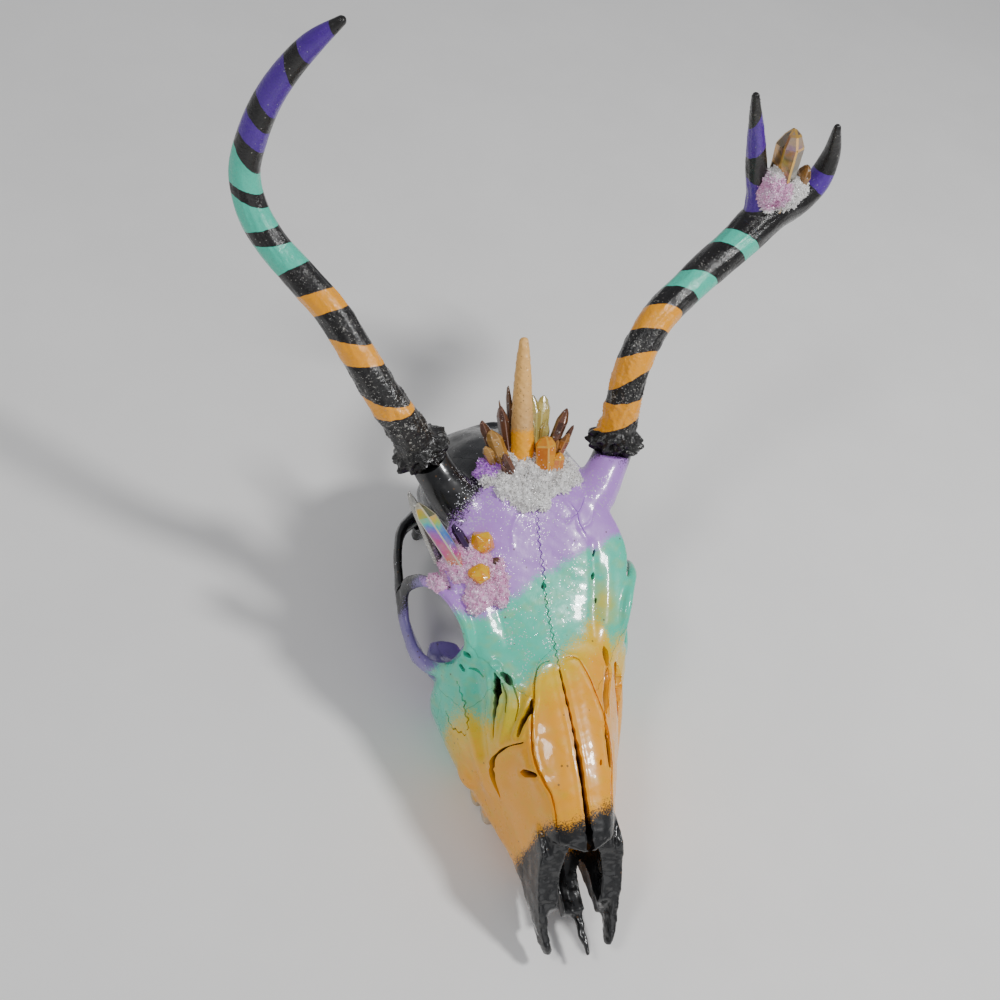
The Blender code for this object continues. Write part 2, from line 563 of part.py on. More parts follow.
FINISHES = {
    "paint_orange": ((0.95, 0.42, 0.02), 0.25, 0.0),
    "paint_teal": ((0.22, 0.72, 0.6), 0.25, 0.0),
    "paint_lilac": ((0.62, 0.5, 0.8), 0.3, 0.0),
    "paint_black": ((0.012, 0.012, 0.012), 0.3, 0.0),
    "bare_bone": ((0.74, 0.52, 0.3), 0.5, 0.0),
    "druse": ((0.85, 0.72, 0.82), 0.4, 0.0),
    "crystal": ((0.5, 0.33, 0.16), 0.15, 0.3),
}


def finish(made, kind):
    material = bpy.data.materials.get(kind)
    if material is None:
        colour, rough, metal = FINISHES[kind]
        material = bpy.data.materials.new(kind)
        material.use_nodes = True
        shader = material.node_tree.nodes["Principled BSDF"]
        shader.inputs["Base Color"].default_value = (*colour, 1)
        shader.inputs["Roughness"].default_value = rough
        shader.inputs["Metallic"].default_value = metal
    made.data.materials.clear()
    made.data.materials.append(material)
    made.data.shade_smooth()
    made.data.set_sharp_from_angle(angle=math.radians(25 if kind == "crystal" else 60))


for old in list(bpy.data.objects):
    bpy.data.objects.remove(old, do_unlink=True)

skull, hollows = whole_skull()
for hollow in hollows:
    combine(skull, [hollow], "DIFFERENCE", "MANIFOLD")
thinned(skull, SKULL_FACES)
keep_largest(skull)
combine(skull, [block("floor", (-200, 200), (-100, 400), (-50, 0))], "DIFFERENCE", "MANIFOLD")
for burr in (SPIKE, BEAM):
    base, towards = Vector(burr[0][:3]), Vector(burr[1][:3]) - Vector(burr[0][:3])
    cut = half_space(base, towards)
    near = blob("near", base, (24, 24, 24))
    combine(cut, [near], "INTERSECT")
    combine(skull, [cut], "DIFFERENCE", "MANIFOLD")
keep_largest(skull)

spike = antler("antler_right", SPIKE, 40, 12)
beam = antler("antler_left_beam", BEAM, 38, 12)
tine = antler("tine", INNER_TINE, 12, 12, burr=False)
combine(beam, [tine], "UNION")
for made in (spike, beam):
    burr = SPIKE if made is spike else BEAM
    base, towards = Vector(burr[0][:3]), Vector(burr[1][:3]) - Vector(burr[0][:3])
    made.data.transform(Matrix.Translation(towards.normalized() * GAP * MM))
inner = copied(beam, "antler_left_inner_tine")
outer = copied(beam, "antler_left_outer_tine")
combine(beam, [half_space(*FORK_CUT, -GAP / 2)], "DIFFERENCE")
for made, way in ((inner, -1), (outer, 1)):
    combine(made, [half_space(*FORK_CUT, GAP / 2)], "INTERSECT")
    side = Vector(TINE_CUT[1]) * way
    combine(made, [half_space(TINE_CUT[0], side, GAP / 2)], "INTERSECT")
antlers = [spike, beam, inner, outer]

crown_tine = antler("crown_tine", CROWN_TINE, 12, 12, burr=False)
combine(crown_tine, [copied(skull, "seat", GAP)], "DIFFERENCE", "MANIFOLD")
keep_largest(crown_tine)
crown = cluster("crown", CROWN_CRYSTALS, CROWN_BED, [], [skull, crown_tine])
brow = cluster("brow", BROW_CRYSTALS, BROW_BED, [], [skull])
fork = cluster("fork", FORK_CRYSTALS, FORK_BED, FORK_MOUNDS, [inner, outer, beam])
bones = part_bones(skull)

for made in bones:
    kind = made.name.split("_")[0]
    finish(made, {"nasal": "paint_orange", "maxilla": "paint_orange", "premaxilla": "paint_black",
                  "frontal": "paint_lilac", "braincase": "paint_black"}.get(kind, "paint_teal"))
for made in antlers:
    finish(made, "paint_black")
finish(crown_tine, "bare_bone")
for made in crown + brow + fork:
    finish(made, "druse" if made.name.endswith("bed") else "crystal")
for made in bpy.context.scene.objects:
    made.data.transform(Matrix.Translation(Vector((-MIDDLE[0], -MIDDLE[1], 0)) * MM))
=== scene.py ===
import math
import bmesh
import bpy
import numpy as np
from mathutils import Matrix, Vector, noise
from mathutils.bvhtree import BVHTree


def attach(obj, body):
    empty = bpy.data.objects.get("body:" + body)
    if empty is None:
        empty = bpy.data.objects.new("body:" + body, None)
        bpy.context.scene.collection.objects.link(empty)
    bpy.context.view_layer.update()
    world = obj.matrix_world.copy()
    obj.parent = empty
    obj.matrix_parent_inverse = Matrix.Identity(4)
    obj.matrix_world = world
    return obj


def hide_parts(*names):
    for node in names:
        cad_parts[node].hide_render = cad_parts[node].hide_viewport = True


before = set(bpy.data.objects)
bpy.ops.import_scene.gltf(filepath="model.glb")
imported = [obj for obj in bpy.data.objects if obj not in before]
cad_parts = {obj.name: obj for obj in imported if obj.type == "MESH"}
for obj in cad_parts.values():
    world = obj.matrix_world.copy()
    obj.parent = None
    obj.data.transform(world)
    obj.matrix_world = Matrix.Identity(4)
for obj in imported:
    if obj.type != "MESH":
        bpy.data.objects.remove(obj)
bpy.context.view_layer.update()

# Sizes are millimetres in the skull's own frame: x to the deer's left, y back from the nose, z up.
# The last step of each piece moves it by -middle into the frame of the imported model.
mm = 0.001
middle = (11.2, 160.2, 0)
pieces = []


# curves

def unit(rows):
    return rows / np.linalg.norm(rows, axis=1)[:, None]


def headings(line):
    return unit(np.gradient(line, axis=0))


def lengthAlong(line):
    return np.concatenate([[0], np.cumsum(np.linalg.norm(np.diff(line, axis=0), axis=1))])


def through(knots, values, at):
    knots, values = np.asarray(knots, float), np.asarray(values, float)
    steps = np.diff(knots)[:, None]
    slope = np.diff(values, axis=0) / steps
    inner = (slope[:-1] * steps[1:] + slope[1:] * steps[:-1]) / (steps[:-1] + steps[1:])
    tangent = np.concatenate([slope[:1], inner, slope[-1:]])
    at = np.clip(at, knots[0], knots[-1])
    i = np.clip(np.searchsorted(knots, at, side="right") - 1, 0, len(knots) - 2)
    width = steps[i]
    t = (at - knots[i])[:, None] / width
    return (values[i] * (1 + 2 * t) * (1 - t) ** 2 + values[i + 1] * t * t * (3 - 2 * t)
            + tangent[i] * width * t * (1 - t) ** 2 - tangent[i + 1] * width * t * t * (1 - t))


def curveThrough(points, count):
    points = np.asarray(points, float)
    knots = lengthAlong(points[:, :3])
    return through(knots, points, np.linspace(0, knots[-1], count))


# meshes

def linked(name, mesh):
    made = bpy.data.objects.new(name, mesh)
    bpy.context.scene.collection.objects.link(made)
    return made


def newMesh(name, corners, faces):
    mesh = bpy.data.meshes.new(name)
    mesh.from_pydata((np.asarray(corners) * mm).tolist(), [], faces)
    shape = bmesh.new()
    shape.from_mesh(mesh)
    bmesh.ops.recalc_face_normals(shape, faces=shape.faces)
    shape.to_mesh(mesh)
    shape.free()
    return linked(name, mesh)


def skinRings(name, rings):
    around = len(rings[0])
    last = (len(rings) - 1) * around
    turn = range(around)
    faces = [[low + a, low + (a + 1) % around, low + around + (a + 1) % around, low + around + a]
             for low in range(0, last, around) for a in turn]
    faces += [list(turn), [last + a for a in turn]]
    return newMesh(name, np.concatenate(rings), faces)


def bodyLoft(name, form, stations=150, around=80):
    y = np.linspace(form["stations"][0], form["stations"][-1], stations)
    tracks = [through(form["stations"], line, y) for line in form["lines"].values()]
    rings = []
    for s in range(stations):
        half = np.array([track[s] for track in tracks])
        ring = np.concatenate([half, (half * [-1, 1])[-2:0:-1]])
        closed = np.concatenate([ring[-3:], ring, ring[:4]])
        knots = lengthAlong(closed)
        xz = through(knots, closed, np.linspace(knots[3], knots[-4], around, endpoint=False))
        rings.append(np.column_stack([xz[:, 0], np.full(around, y[s]), xz[:, 1]]))
    return skinRings(name, rings)


def tube(name, path, flat, around, roundPower=1.0):
    flat = np.asarray(flat, float)
    turn = np.linspace(0, 2 * math.pi, around, endpoint=False)
    across, along = (np.sign(wave) * abs(wave) ** roundPower for wave in (np.cos(turn), np.sin(turn)))
    rings = []
    for row, ahead in zip(path, headings(path[:, :3])):
        thick = flat - ahead * (flat @ ahead)
        thick /= np.linalg.norm(thick)
        wide = np.cross(ahead, thick)
        rings.append(row[:3] + np.outer(across * row[3], wide) + np.outer(along * row[4], thick))
    return skinRings(name, rings)


def bar(name, path, flat=(1, 0, 0), count=36, around=20, roundPower=1.0):
    return tube(name, curveThrough(path, count), flat, around, roundPower)


def blob(name, centre, radii, fineness=3):
    shape = bmesh.new()
    bmesh.ops.create_icosphere(shape, subdivisions=fineness, radius=1)
    corners = [Vector(centre) + Vector(c * r for c, r in zip(v.co, radii)) for v in shape.verts]
    faces = [[v.index for v in face.verts] for face in shape.faces]
    shape.free()
    return newMesh(name, corners, faces)


def copied(source, name):
    return linked(name, source.data.copy())


def mirror(target):
    target.data.transform(Matrix.Diagonal((-1, 1, 1, 1)))
    target.data.flip_normals()
    return target


def bothSides(make, name, *sizes, **more):
    made = make(name, *sizes, **more)
    return [made, mirror(copied(made, name))]


def joined(parts):
    with bpy.context.temp_override(active_object=parts[0], object=parts[0], selected_objects=parts,
                                   selected_editable_objects=parts):
        bpy.ops.object.join()
    return parts[0]


def settle(target):
    graph = bpy.context.evaluated_depsgraph_get()
    mesh = bpy.data.meshes.new_from_object(target.evaluated_get(graph), depsgraph=graph)
    target.modifiers.clear()
    target.data = mesh


def keepLargest(target):
    edges = np.empty(len(target.data.edges) * 2, np.int64)
    target.data.edges.foreach_get("vertices", edges)
    edges = edges.reshape(-1, 2)
    group, before = np.arange(len(target.data.vertices)), None
    while before is None or (group != before).any():  # each point takes the lowest number that it can reach
        before = group.copy()
        low = np.minimum(group[edges[:, 0]], group[edges[:, 1]])
        np.minimum.at(group, edges[:, 0], low)
        np.minimum.at(group, edges[:, 1], low)
        group = group[group]
    names, sizes = np.unique(group, return_counts=True)
    if len(names) > 1:
        keep = group == names[sizes.argmax()]
        shape = bmesh.new()
        shape.from_mesh(target.data)
        bmesh.ops.delete(shape, geom=[v for v in shape.verts if not keep[v.index]], context="VERTS")
        shape.to_mesh(target.data)
        shape.free()


def combine(target, others, operation, solver="MANIFOLD"):
    group = bpy.data.collections.new("group")
    for other in others:
        group.objects.link(other)
    step = target.modifiers.new("Combine", "BOOLEAN")
    step.operand_type = "COLLECTION"
    step.collection = group
    step.operation = operation
    step.solver = solver
    settle(target)
    for other in others:
        bpy.data.objects.remove(other, do_unlink=True)
    bpy.data.collections.remove(group)
    return target


def fused(name, parts, voxel, smoothing):
    made = joined(parts)
    made.name = name
    fuse = made.modifiers.new("Fuse", "REMESH")
    fuse.mode = "VOXEL"
    fuse.voxel_size = voxel * mm
    ease = made.modifiers.new("Ease", "SMOOTH")
    ease.iterations = smoothing
    ease.factor = 0.5
    settle(made)
    keepLargest(made)
    return made


# points and attributes of a mesh, in millimetres

def normalsOf(target, what="normal"):
    flat = np.empty(len(target.data.vertices) * 3)
    target.data.vertices.foreach_get(what, flat)
    return flat.reshape(-1, 3)


def pointsOf(target):
    return normalsOf(target, "co") / mm


def placePoints(target, points):
    target.data.vertices.foreach_set("co", (points * mm).ravel())
    target.data.update()


def setField(target, name, values, domain="POINT"):
    layer = target.data.attributes.new(name, "FLOAT", domain)
    layer.data.foreach_set("value", np.asarray(values, np.float32))


def waves(points, size, seed=0.0, depth=3):
    # smooth noise for all points at once, from a few turned sine waves
    rng = np.random.default_rng(int(seed * 1000) + 7)
    total, strength = np.zeros(len(points)), 1.0
    for octave in range(depth):
        for wave in range(7):
            way = rng.normal(size=3)
            way /= np.linalg.norm(way)
            shift = rng.uniform(0, 2 * math.pi)
            stretch = rng.uniform(0.7, 1.4)
            total += strength * np.sin(points @ way * (2 * math.pi / size * stretch) + shift) / 3.2
        size, strength = size / 2.1, strength * 0.5
    return total


def farFrom(points, path, step=0.6, reach=12, chunk=20000):
    # distance from each point to a line through path, for the points near it
    path = np.asarray(path, float)[:, :3]
    line = curveThrough(path, max(2, int(lengthAlong(path)[-1] / step)))
    near = np.full(len(points), 1e9)
    inside = np.flatnonzero((points > line.min(0) - reach).all(1) & (points < line.max(0) + reach).all(1))
    for start in range(0, len(inside), chunk):
        some = inside[start:start + chunk]
        near[some] = np.sqrt(((points[some][:, None] - line[None]) ** 2).sum(2).min(1))
    return near


def swell(points, centre, reach):
    return np.exp(-np.linalg.norm((points - centre) / reach, axis=1) ** 2)


# the skull: one body from lofts and bars, hollowed, carved and parted into its bones

skullForm = {
    "voxel": 0.85,
    "smoothing": 9,
    "wornVoxel": 0.75,
    "wornSmoothing": 3,
    "suture": 0.14,
    "stations": (34, 50, 62, 76, 90, 105, 122, 138, 155, 172, 187, 202, 218, 234, 248, 258),
    "lines": {  # x and z of the left side's lines, one pair for each station along y
        "roof": [(0, 46), (0, 57), (0, 63), (0, 68.5), (0, 72.5), (0, 75.5), (0, 78), (0, 81.5),
                 (0, 87.5), (0, 96), (0, 103.5), (0, 106), (0, 103), (0, 95), (0, 83), (0, 70)],
        "nasalEdge": [(9, 43), (11, 54), (13, 59), (15.5, 64), (16, 68.5), (15, 73), (15, 76.5), (18, 80),
                      (22, 87), (24, 95.5), (24, 102), (21, 104.5), (19, 101), (18, 93), (16, 82), (12, 69)],
        "rim": [(14, 36), (15, 45), (17, 49), (20, 54), (23, 59), (26, 63), (30, 68), (34, 76), (40, 84),
                (43.5, 89), (38, 95), (33, 97), (31, 92), (30, 84), (26, 75), (18, 64)],
        "side": [(16.5, 29), (18, 35), (20.5, 39), (24, 43), (28, 46), (32.5, 49), (38, 53), (40, 60),
                 (15, 66), (16, 70), (21, 72), (33, 78), (36.5, 74), (35, 68), (29, 62), (20, 57)],
        "cheek": [(17.5, 22), (19.5, 25), (22, 27), (25.5, 28), (30.5, 29), (36.5, 30), (42, 33), (44, 40),
                  (17, 46), (14, 50), (17, 51), (29, 55), (34, 53), (33, 49), (26, 46), (17, 45)],
        "toothEdge": [(16.5, 14), (18, 14), (20, 14), (23, 12), (27, 11), (31.5, 10), (35, 10), (36, 11),
                      (30, 14), (11, 32), (11, 34), (18, 36), (25, 34), (25, 33), (19, 33), (12, 34)],
        "palateEdge": [(12, 11), (13, 11), (15, 11), (17, 10), (20, 9), (22, 9), (23, 9), (23, 10), (20, 13),
                       (8, 30), (8, 31), (9, 31), (11, 28), (11, 26), (10, 26), (8, 28)],
        "palate": [(0, 11), (0, 12), (0, 13), (0, 15), (0, 16), (0, 17), (0, 18), (0, 20), (0, 26),
                   (0, 34), (0, 34), (0, 32), (0, 28), (0, 26), (0, 26), (0, 27)],
    },
    "bars": {  # x, y, z, half width, half thickness
        "orbitRim": [(35.4, 136.4, 73, 2.5, 2.3), (37.6, 143, 80, 2.4, 2.3), (41, 151.4, 82.4, 2.1, 2.3),
                     (45.5, 161, 81, 2.1, 2.4), (48.4, 168, 76, 2.8, 2), (51, 175, 66, 3.6, 1.9),
                     (52.6, 178.5, 55, 4.4, 1.8), (52.4, 173, 45, 4.8, 1.9), (52, 164, 41.5, 5, 2),
                     (51, 153, 42, 5, 2.2), (47, 143.4, 45, 4, 2.6), (41.2, 136.8, 54, 2.8, 2.6),
                     (36.8, 135.4, 64, 2.6, 2.4), (35.4, 136.4, 73, 2.5, 2.3)],
        "arch": [(49, 150, 39, 5, 3), (52.5, 168, 42, 5, 2.4), (53, 180, 46.5, 5, 2.2), (52, 192, 48, 4, 2),
                 (50, 204, 48.5, 4, 2), (46, 215, 48.5, 5, 2.6), (36, 223, 50, 7, 4)],
        "pedicle": [(24, 190, 90, 12, 11), (33, 198, 95, 11.5, 11), (40, 206.5, 101, 9.2, 9.2),
                    (46, 216, 108, 8.8, 8.8)],
        "premaxArm": [(17.8, 68, 38, 13, 1.2), (17.5, 60, 34, 17.5, 1.9), (17.2, 52, 30, 20, 2.4),
                      (17, 42, 24, 15, 2.3), (16, 32, 18, 9, 2.2), (15, 26, 14, 5.5, 2.1),
                      (13.6, 20, 11, 2.6, 1.9)],
        "paroccipital": [(24, 243, 42, 6, 5), (25, 245, 22, 5, 3), (24.5, 245, -2, 3.4, 2.4)],
        "pterygoid": [(10, 166, 33, 7, 1.8), (11, 172, 24, 6, 1.4), (11.5, 178, 15, 3.5, 1.2)],
        "nuchalCrest": [(30, 237, 50, 4, 3), (27, 242.5, 64, 4, 3), (18, 246.5, 74, 4, 3),
                        (6, 249, 79, 4.4, 3.4), (-3, 249, 79.5, 4.4, 3.4)],
        "ear": [(24, 224, 40, 6, 6), (33, 222, 43, 5, 5), (37, 221, 44, 4.4, 4.4)],
        "mastoid": [(30, 236, 52, 6, 4), (28, 241, 40, 6, 4), (24, 243, 30, 6, 4)],
    },
    "orbitFloor": [(40, 140, 42, 8, 6), (36.5, 150, 38, 9, 3.4), (35, 159, 37, 7, 2.4)],
    "rodLeft": [(2.9, 66, 16, 3.4, 2), (3, 46, 16, 2.6, 1.8), (3.2, 32, 14, 2.2, 1.7),
                (3.6, 16.5, 11.5, 1.5, 1.5)],
    "rodRight": [(-2.9, 66, 16, 3.4, 2), (-3, 46, 16, 2.6, 1.8), (-3, 37, 15, 1.8, 1.4)],
    "splint": [(0.6, 44, 16, 1.1, 0.9), (1.2, 32, 14, 1, 0.8), (1.6, 22, 12.4, 0.8, 0.7)],
    "blobs": {"bulla": ((20, 226, 25), (8, 11, 9)), "condyle": ((12, 257, 37), (8, 8, 11)),
              "tuber": ((31.5, 103, 22), (6, 10, 8))},
    "occiput": ((0, 248, 56), (21, 8, 20)),
    "nostril": [(0, 10, 34, 18, 11.5), (0, 30, 34, 17, 10.5), (0, 46, 35, 17, 9.5), (0, 60, 39, 14, 9.5),
                (0, 80, 46, 11, 8), (0, 100, 54, 5, 4)],
    "choana": [(0, 190, 20, 6, 7), (0, 165, 22, 7, 7), (0, 148, 26, 5, 4)],
    "spinalHole": [(0, 266, 38, 9, 8), (0, 250, 40, 8, 7.5), (0, 244, 41, 6, 6)],
    "fissure": [(8.2, 24, 12, 12, 3.8), (7.8, 42, 13, 12, 3.4), (7.2, 58, 13, 12, 2)],
    "earHole": [(28, 223.5, 41.5, 2.4, 2.4), (42, 220, 45.5, 2.8, 2.8)],
    "noseSide": [(-20, 120), (45.5, 120), (46.5, 53.5), (53.5, 51.5), (50, 48), (43, 38), (35, 28),
                 (27, 19.5), (20, 14.5), (10, 12.5), (-20, 12.5)],
    "nasalFront": [(-3, 30), (3, 46.5), (7.5, 48.6), (10.5, 50.6), (13, 52.4), (24, 53.5), (24, 30)],
    "vacuity": [(30, 125, 67, 2, 1), (30.5, 118, 62, 6, 1.8), (29.5, 110, 56, 6, 1.6), (28, 103, 50, 2, 1)],
    "socket": [(-40, 140.6, 54, 4, 3), (-38.4, 141.4, 62, 6, 5), (-37, 145, 70, 7, 5.5), (-37, 152, 74, 6, 4.5),
               (-38, 160, 74, 4, 3)],
    "burrs": [((-45, 215, 105), (-58, 221, 123)), ((45, 215, 105), (46, 223, 121))],
    "burrRoom": 24,
}

teeth = {
    # length along the row, width, distance from the midline
    "sizes": [(9, 7.5, 21.6), (10, 9, 23.6), (10.5, 10.5, 25.2), (12.5, 12, 26.6), (14, 12.5, 27.8),
              (14, 12, 28)],
    "first": 84,
    "root": 16,
    "twoLobed": 12,
    "pitInward": 0.16,
    # depth and half width of the groove behind a tooth and between its lobes
    "grooves": {True: (4.4, 1.05), False: (2.6, 0.75)},
}


def toothRow():
    # the lobes, and the cutters for the pits and grooves between them
    lobesMade, cutters = [], []
    front = teeth["first"]
    for length, width, across in teeth["sizes"]:
        lobes = 1 if length < teeth["twoLobed"] else 2
        for lobe in range(lobes):
            y, half = front + length * (lobe + 0.5) / lobes, length / lobes / 2
            path = [(across, y, teeth["root"], width / 2, half + 0.2),
                    (across + 0.6, y, 6, width / 2, half + 0.3),
                    (across + 0.3, y, -2, width / 2 - 1.2, half - 0.5)]
            lobesMade += bothSides(bar, "tooth", path, flat=(0, 1, 0), count=12, roundPower=0.6)
            inner, outer = across - width * teeth["pitInward"], across + 0.6 + width / 2
            pit = [(inner, y, 2.6, 1.1, half - 1.6), (inner, y, -3, 1.7, half - 1.2)]
            cutters += bothSides(bar, "pit", pit, flat=(0, 1, 0), count=4, around=12)
            deep, gap = teeth["grooves"][lobe == lobes - 1]
            end = front + length * (lobe + 1) / lobes
            groove = [(outer, end, -2, deep, gap), (outer - 0.4, end, 9.5, deep * 0.5, gap * 0.4)]
            cutters += bothSides(bar, "groove", groove, flat=(0, 1, 0), count=6, around=12)
        front += length
    return lobesMade, cutters


def prism(name, outline, axis, span, grow=0.0, ragged=0.0, seed=0):
    outline = np.array(outline, float)
    if ragged:  # a bone's seam is never straight
        fine = []
        for a, b in zip(outline, np.roll(outline, -1, axis=0)):
            steps = max(1, int(np.linalg.norm(b - a) / 1.5))
            fine += [a + (b - a) * t / steps for t in range(steps)]
        outline = np.array(fine)
        at = np.column_stack([outline, np.zeros(len(outline))])
        outline[:, 0] += ragged * waves(at, 5.2, seed, 2)
        outline[:, 1] += ragged * waves(at, 4.6, seed + 0.5, 2)
    following = np.roll(outline, -1, axis=0)
    ahead = unit(following - outline)
    area = np.sum(outline[:, 0] * following[:, 1] - following[:, 0] * outline[:, 1])
    out = np.column_stack([ahead[:, 1], -ahead[:, 0]]) * math.copysign(1, area)
    corner = out + np.roll(out, 1, axis=0)
    corner *= 2 / np.maximum(np.sum(corner * corner, axis=1), 0.6)[:, None]
    outline = outline + corner * grow
    return skinRings(name, [np.insert(outline, axis, end, axis=1) for end in (span[0] - grow, span[1] + grow)])


def halfSpace(point, facing, shift=0.0, reach=400):
    facing = Vector(facing).normalized()
    corners = [(a, b, c) for a in (-reach, reach) for b in (-reach, reach) for c in (0, 2 * reach)]
    sides = [(0, 1, 3, 2), (4, 6, 7, 5), (0, 4, 5, 1), (2, 3, 7, 6), (0, 2, 6, 4), (1, 5, 7, 3)]
    made = newMesh("halfSpace", corners, sides)
    turn = facing.to_track_quat("Z", "Y").to_matrix().to_4x4()
    made.data.transform(Matrix.Translation((Vector(point) + facing * shift) * mm) @ turn)
    return made


def wholeSkull():
    form = skullForm
    parts = [bodyLoft("body", form)]
    for name, path in form["bars"].items():
        parts += bothSides(bar, name, path, count=90 if name == "orbitRim" else 40)
    parts += bothSides(bar, "orbitFloor", form["orbitFloor"], flat=(0, 0, 1))
    parts += [bar(name, form[name]) for name in ("rodLeft", "rodRight", "splint")]
    for name, (centre, radii) in form["blobs"].items():
        parts += bothSides(blob, name, centre, radii)
    parts.append(blob("occiput", *form["occiput"]))
    lobes, cutters = toothRow()
    skull = fused("skull", parts + lobes, form["voxel"], form["smoothing"])
    print("skull body", len(skull.data.vertices))
    hollows = [bar(name, form[name]) for name in ("nostril", "choana", "spinalHole")]
    hollows.append(prism("nose", form["noseSide"], 0, (-60, 60)))
    hollows += bothSides(prism, "nasalFront", form["nasalFront"], 2, (50.5, 120))
    for name in ("fissure", "earHole"):
        hollows += bothSides(bar, name, form[name])
    hollows += [bar(name, form[name]) for name in ("vacuity", "socket")]
    for cutter in hollows + cutters:
        combine(skull, [cutter], "DIFFERENCE")
    return fused("skull", [skull], form["wornVoxel"], form["wornSmoothing"])


# cracks, seams and small holes that are cut into the painted bone: path, widths, depth
# without widths, the fourth number of each point is the width there
carving = {
    "slit": ([(-0.3, 118, 77.3), (-0.2, 104, 75.3), (0, 88, 72), (0, 72, 67), (0, 58, 61.5), (0.2, 47, 55)],
             (0.9, 3.0), 9),
    "vacuity": ([(-26.4, 123, 71, 0.8), (-26, 119, 69.4, 3.8), (-26.6, 114, 66, 3.2), (-28, 107, 60, 1.3),
                 (-29, 101, 54.6, 0.5)], None, 9),
    "vacuityEdge": ([(-24.4, 118, 70.6), (-23.4, 112, 69), (-23.8, 107, 65.5)], (0.5, 1.1), 3),
    "midline": ([(0.3, 186, 103), (-0.4, 172, 96), (0.2, 160, 90), (-0.5, 147, 84.5), (-0.1, 133, 80.4),
                 (-0.4, 118, 77.4)], (0.5, 0.6), 1.2),
    "noseSeamLeft": ([(-4, 122.5, 77.6), (-8.5, 121, 77.2), (-11.5, 116, 76), (-13.8, 107, 73.8),
                      (-16.5, 97, 70), (-17.4, 86, 65.6), (-15.9, 77, 63.6), (-12.8, 69, 62),
                      (-11.7, 57, 56.5)], (0.5, 0.9), 1.6),
    "noseSeamRight": ([(3.6, 123.5, 77.8), (8, 123, 77.6), (11.5, 117, 76.4), (14.5, 106, 73.6),
                       (16.4, 95, 69.6), (16.6, 84, 66), (14.6, 73, 63.6), (12.4, 62, 59)], (0.5, 0.9), 1.4),
    "arc": ([(-19.5, 92.6, 64.6, 0.5), (-22.4, 93.4, 62, 0.5), (-26.5, 94.6, 56, 0.8), (-29.6, 93.6, 48, 2.2),
             (-30.4, 89, 42, 3.4), (-28.8, 83, 39.5, 1.8), (-28, 80, 38.6, 0.5)], None, 5),
    "crack": ([(-14.6, 107, 74), (-16.4, 103.6, 71.8), (-19.6, 99.4, 67.4), (-21.4, 96, 64.4)], (0.8, 3), 5),
    "holeLow": ([(-21.6, 82.6, 57), (-19.4, 80.6, 60), (-17, 78.4, 62.4)], (1.2, 3.2), 5),
    "triangle": ([(-24.6, 121.4, 72.6), (-22.4, 119, 72.4), (-21.4, 116.6, 72)], (1.4, 3.4), 4),
    "tearHole": ([(-37.3, 134.6, 70), (-35.7, 132.6, 70)], (2.2, 2.4), 4),
    "tearHoleLow": ([(-38.8, 131.6, 64.4), (-37.4, 130, 63.4)], (2, 2), 3),
    "roundHole": ([(-26, 126, 73), (-24.6, 124, 72.8)], (2.6, 3), 4),
    "tearCrease": ([(-36, 128.6, 66), (-33, 127, 67), (-30.6, 124, 67)], (0.6, 1.4), 1.5),
    "zigzag": ([(-39.6, 128, 57), (-38.4, 125, 54.6), (-38.8, 122, 54), (-37, 119.4, 53), (-37.8, 116.6, 51),
                (-36, 113.6, 49.4), (-36.4, 110, 46)], (0.5, 1.1), 1.3),
    "seamLow": ([(-42.4, 123, 40), (-40.6, 117, 37), (-38.8, 112, 40), (-37.6, 109, 42.6)], (0.5, 0.9), 1.2),
    "faceHoleOther": ([(29.8, 87, 37), (28.6, 84.6, 36.2)], (1.8, 2.3), 4),
    "ridgeLine": ([(-22, 121, 73), (-20.4, 114, 72), (-19.6, 108, 70), (-21.6, 102, 66)], (0.4, 0.8), 1.2),
    "rightHigh": ([(23.8, 128, 75), (24.4, 124, 73.6), (24, 121, 72.4)], (1.4, 3.6), 3.4),
    "rightMiddle": ([(24, 119, 71.4), (22.6, 113, 71), (20.4, 107, 71), (18.6, 100, 70)], (1.6, 5), 3),
    "rightCrack": ([(18.6, 105, 71.6), (17, 99, 70.8), (15.4, 93, 69.8)], (0.6, 1.2), 3),
    "rightSlit": ([(15.4, 93, 69), (15, 84, 67.2), (14, 77, 65)], (0.9, 2.4), 6),
    "rightDot": ([(10, 79, 68), (9.4, 77.4, 67.6)], (1.2, 1.4), 3),
    "browHole": ([(25.4, 167, 93.4), (24.8, 165, 92.6)], (1.5, 1.7), 3.5),
    "browHoleLow": ([(23.9, 158, 88.8), (23.4, 156, 88)], (1.5, 1.7), 3.5),
    "browHoleLast": ([(23.2, 148, 84), (22.8, 146.4, 83.4)], (1, 1.1), 2.5),
    "browHoleOther": ([(-25.4, 167, 93.4), (-24.8, 165, 92.6)], (1.5, 1.7), 3.5),
    "midHole": ([(-0.8, 155, 88), (-0.9, 153.4, 87.2)], (1.4, 1.6), 3),
    "scratchA": ([(16.5, 186, 103.4), (19, 182, 101.6), (19.4, 178, 99.6), (22, 174, 97.6)], (0.3, 0.6), 0.7),
    "scratchB": ([(24, 190, 103), (20.6, 184, 102), (15.4, 180, 100.6)], (0.3, 0.5), 0.6),
}
jagged = {"zigzag", "seamLow", "midline"}
# the bone stands up a little beside these
raised = {"slit", "vacuity", "arc", "crack", "holeLow", "triangle", "rightMiddle", "rightSlit",
          "noseSeamLeft", "noseSeamRight", "tearHole", "tearHoleLow", "roundHole"}
carveForm = {"step": 1.6, "jaggedStep": 0.9, "wobble": 0.25, "thinnest": 0.12, "endPart": 0.3}


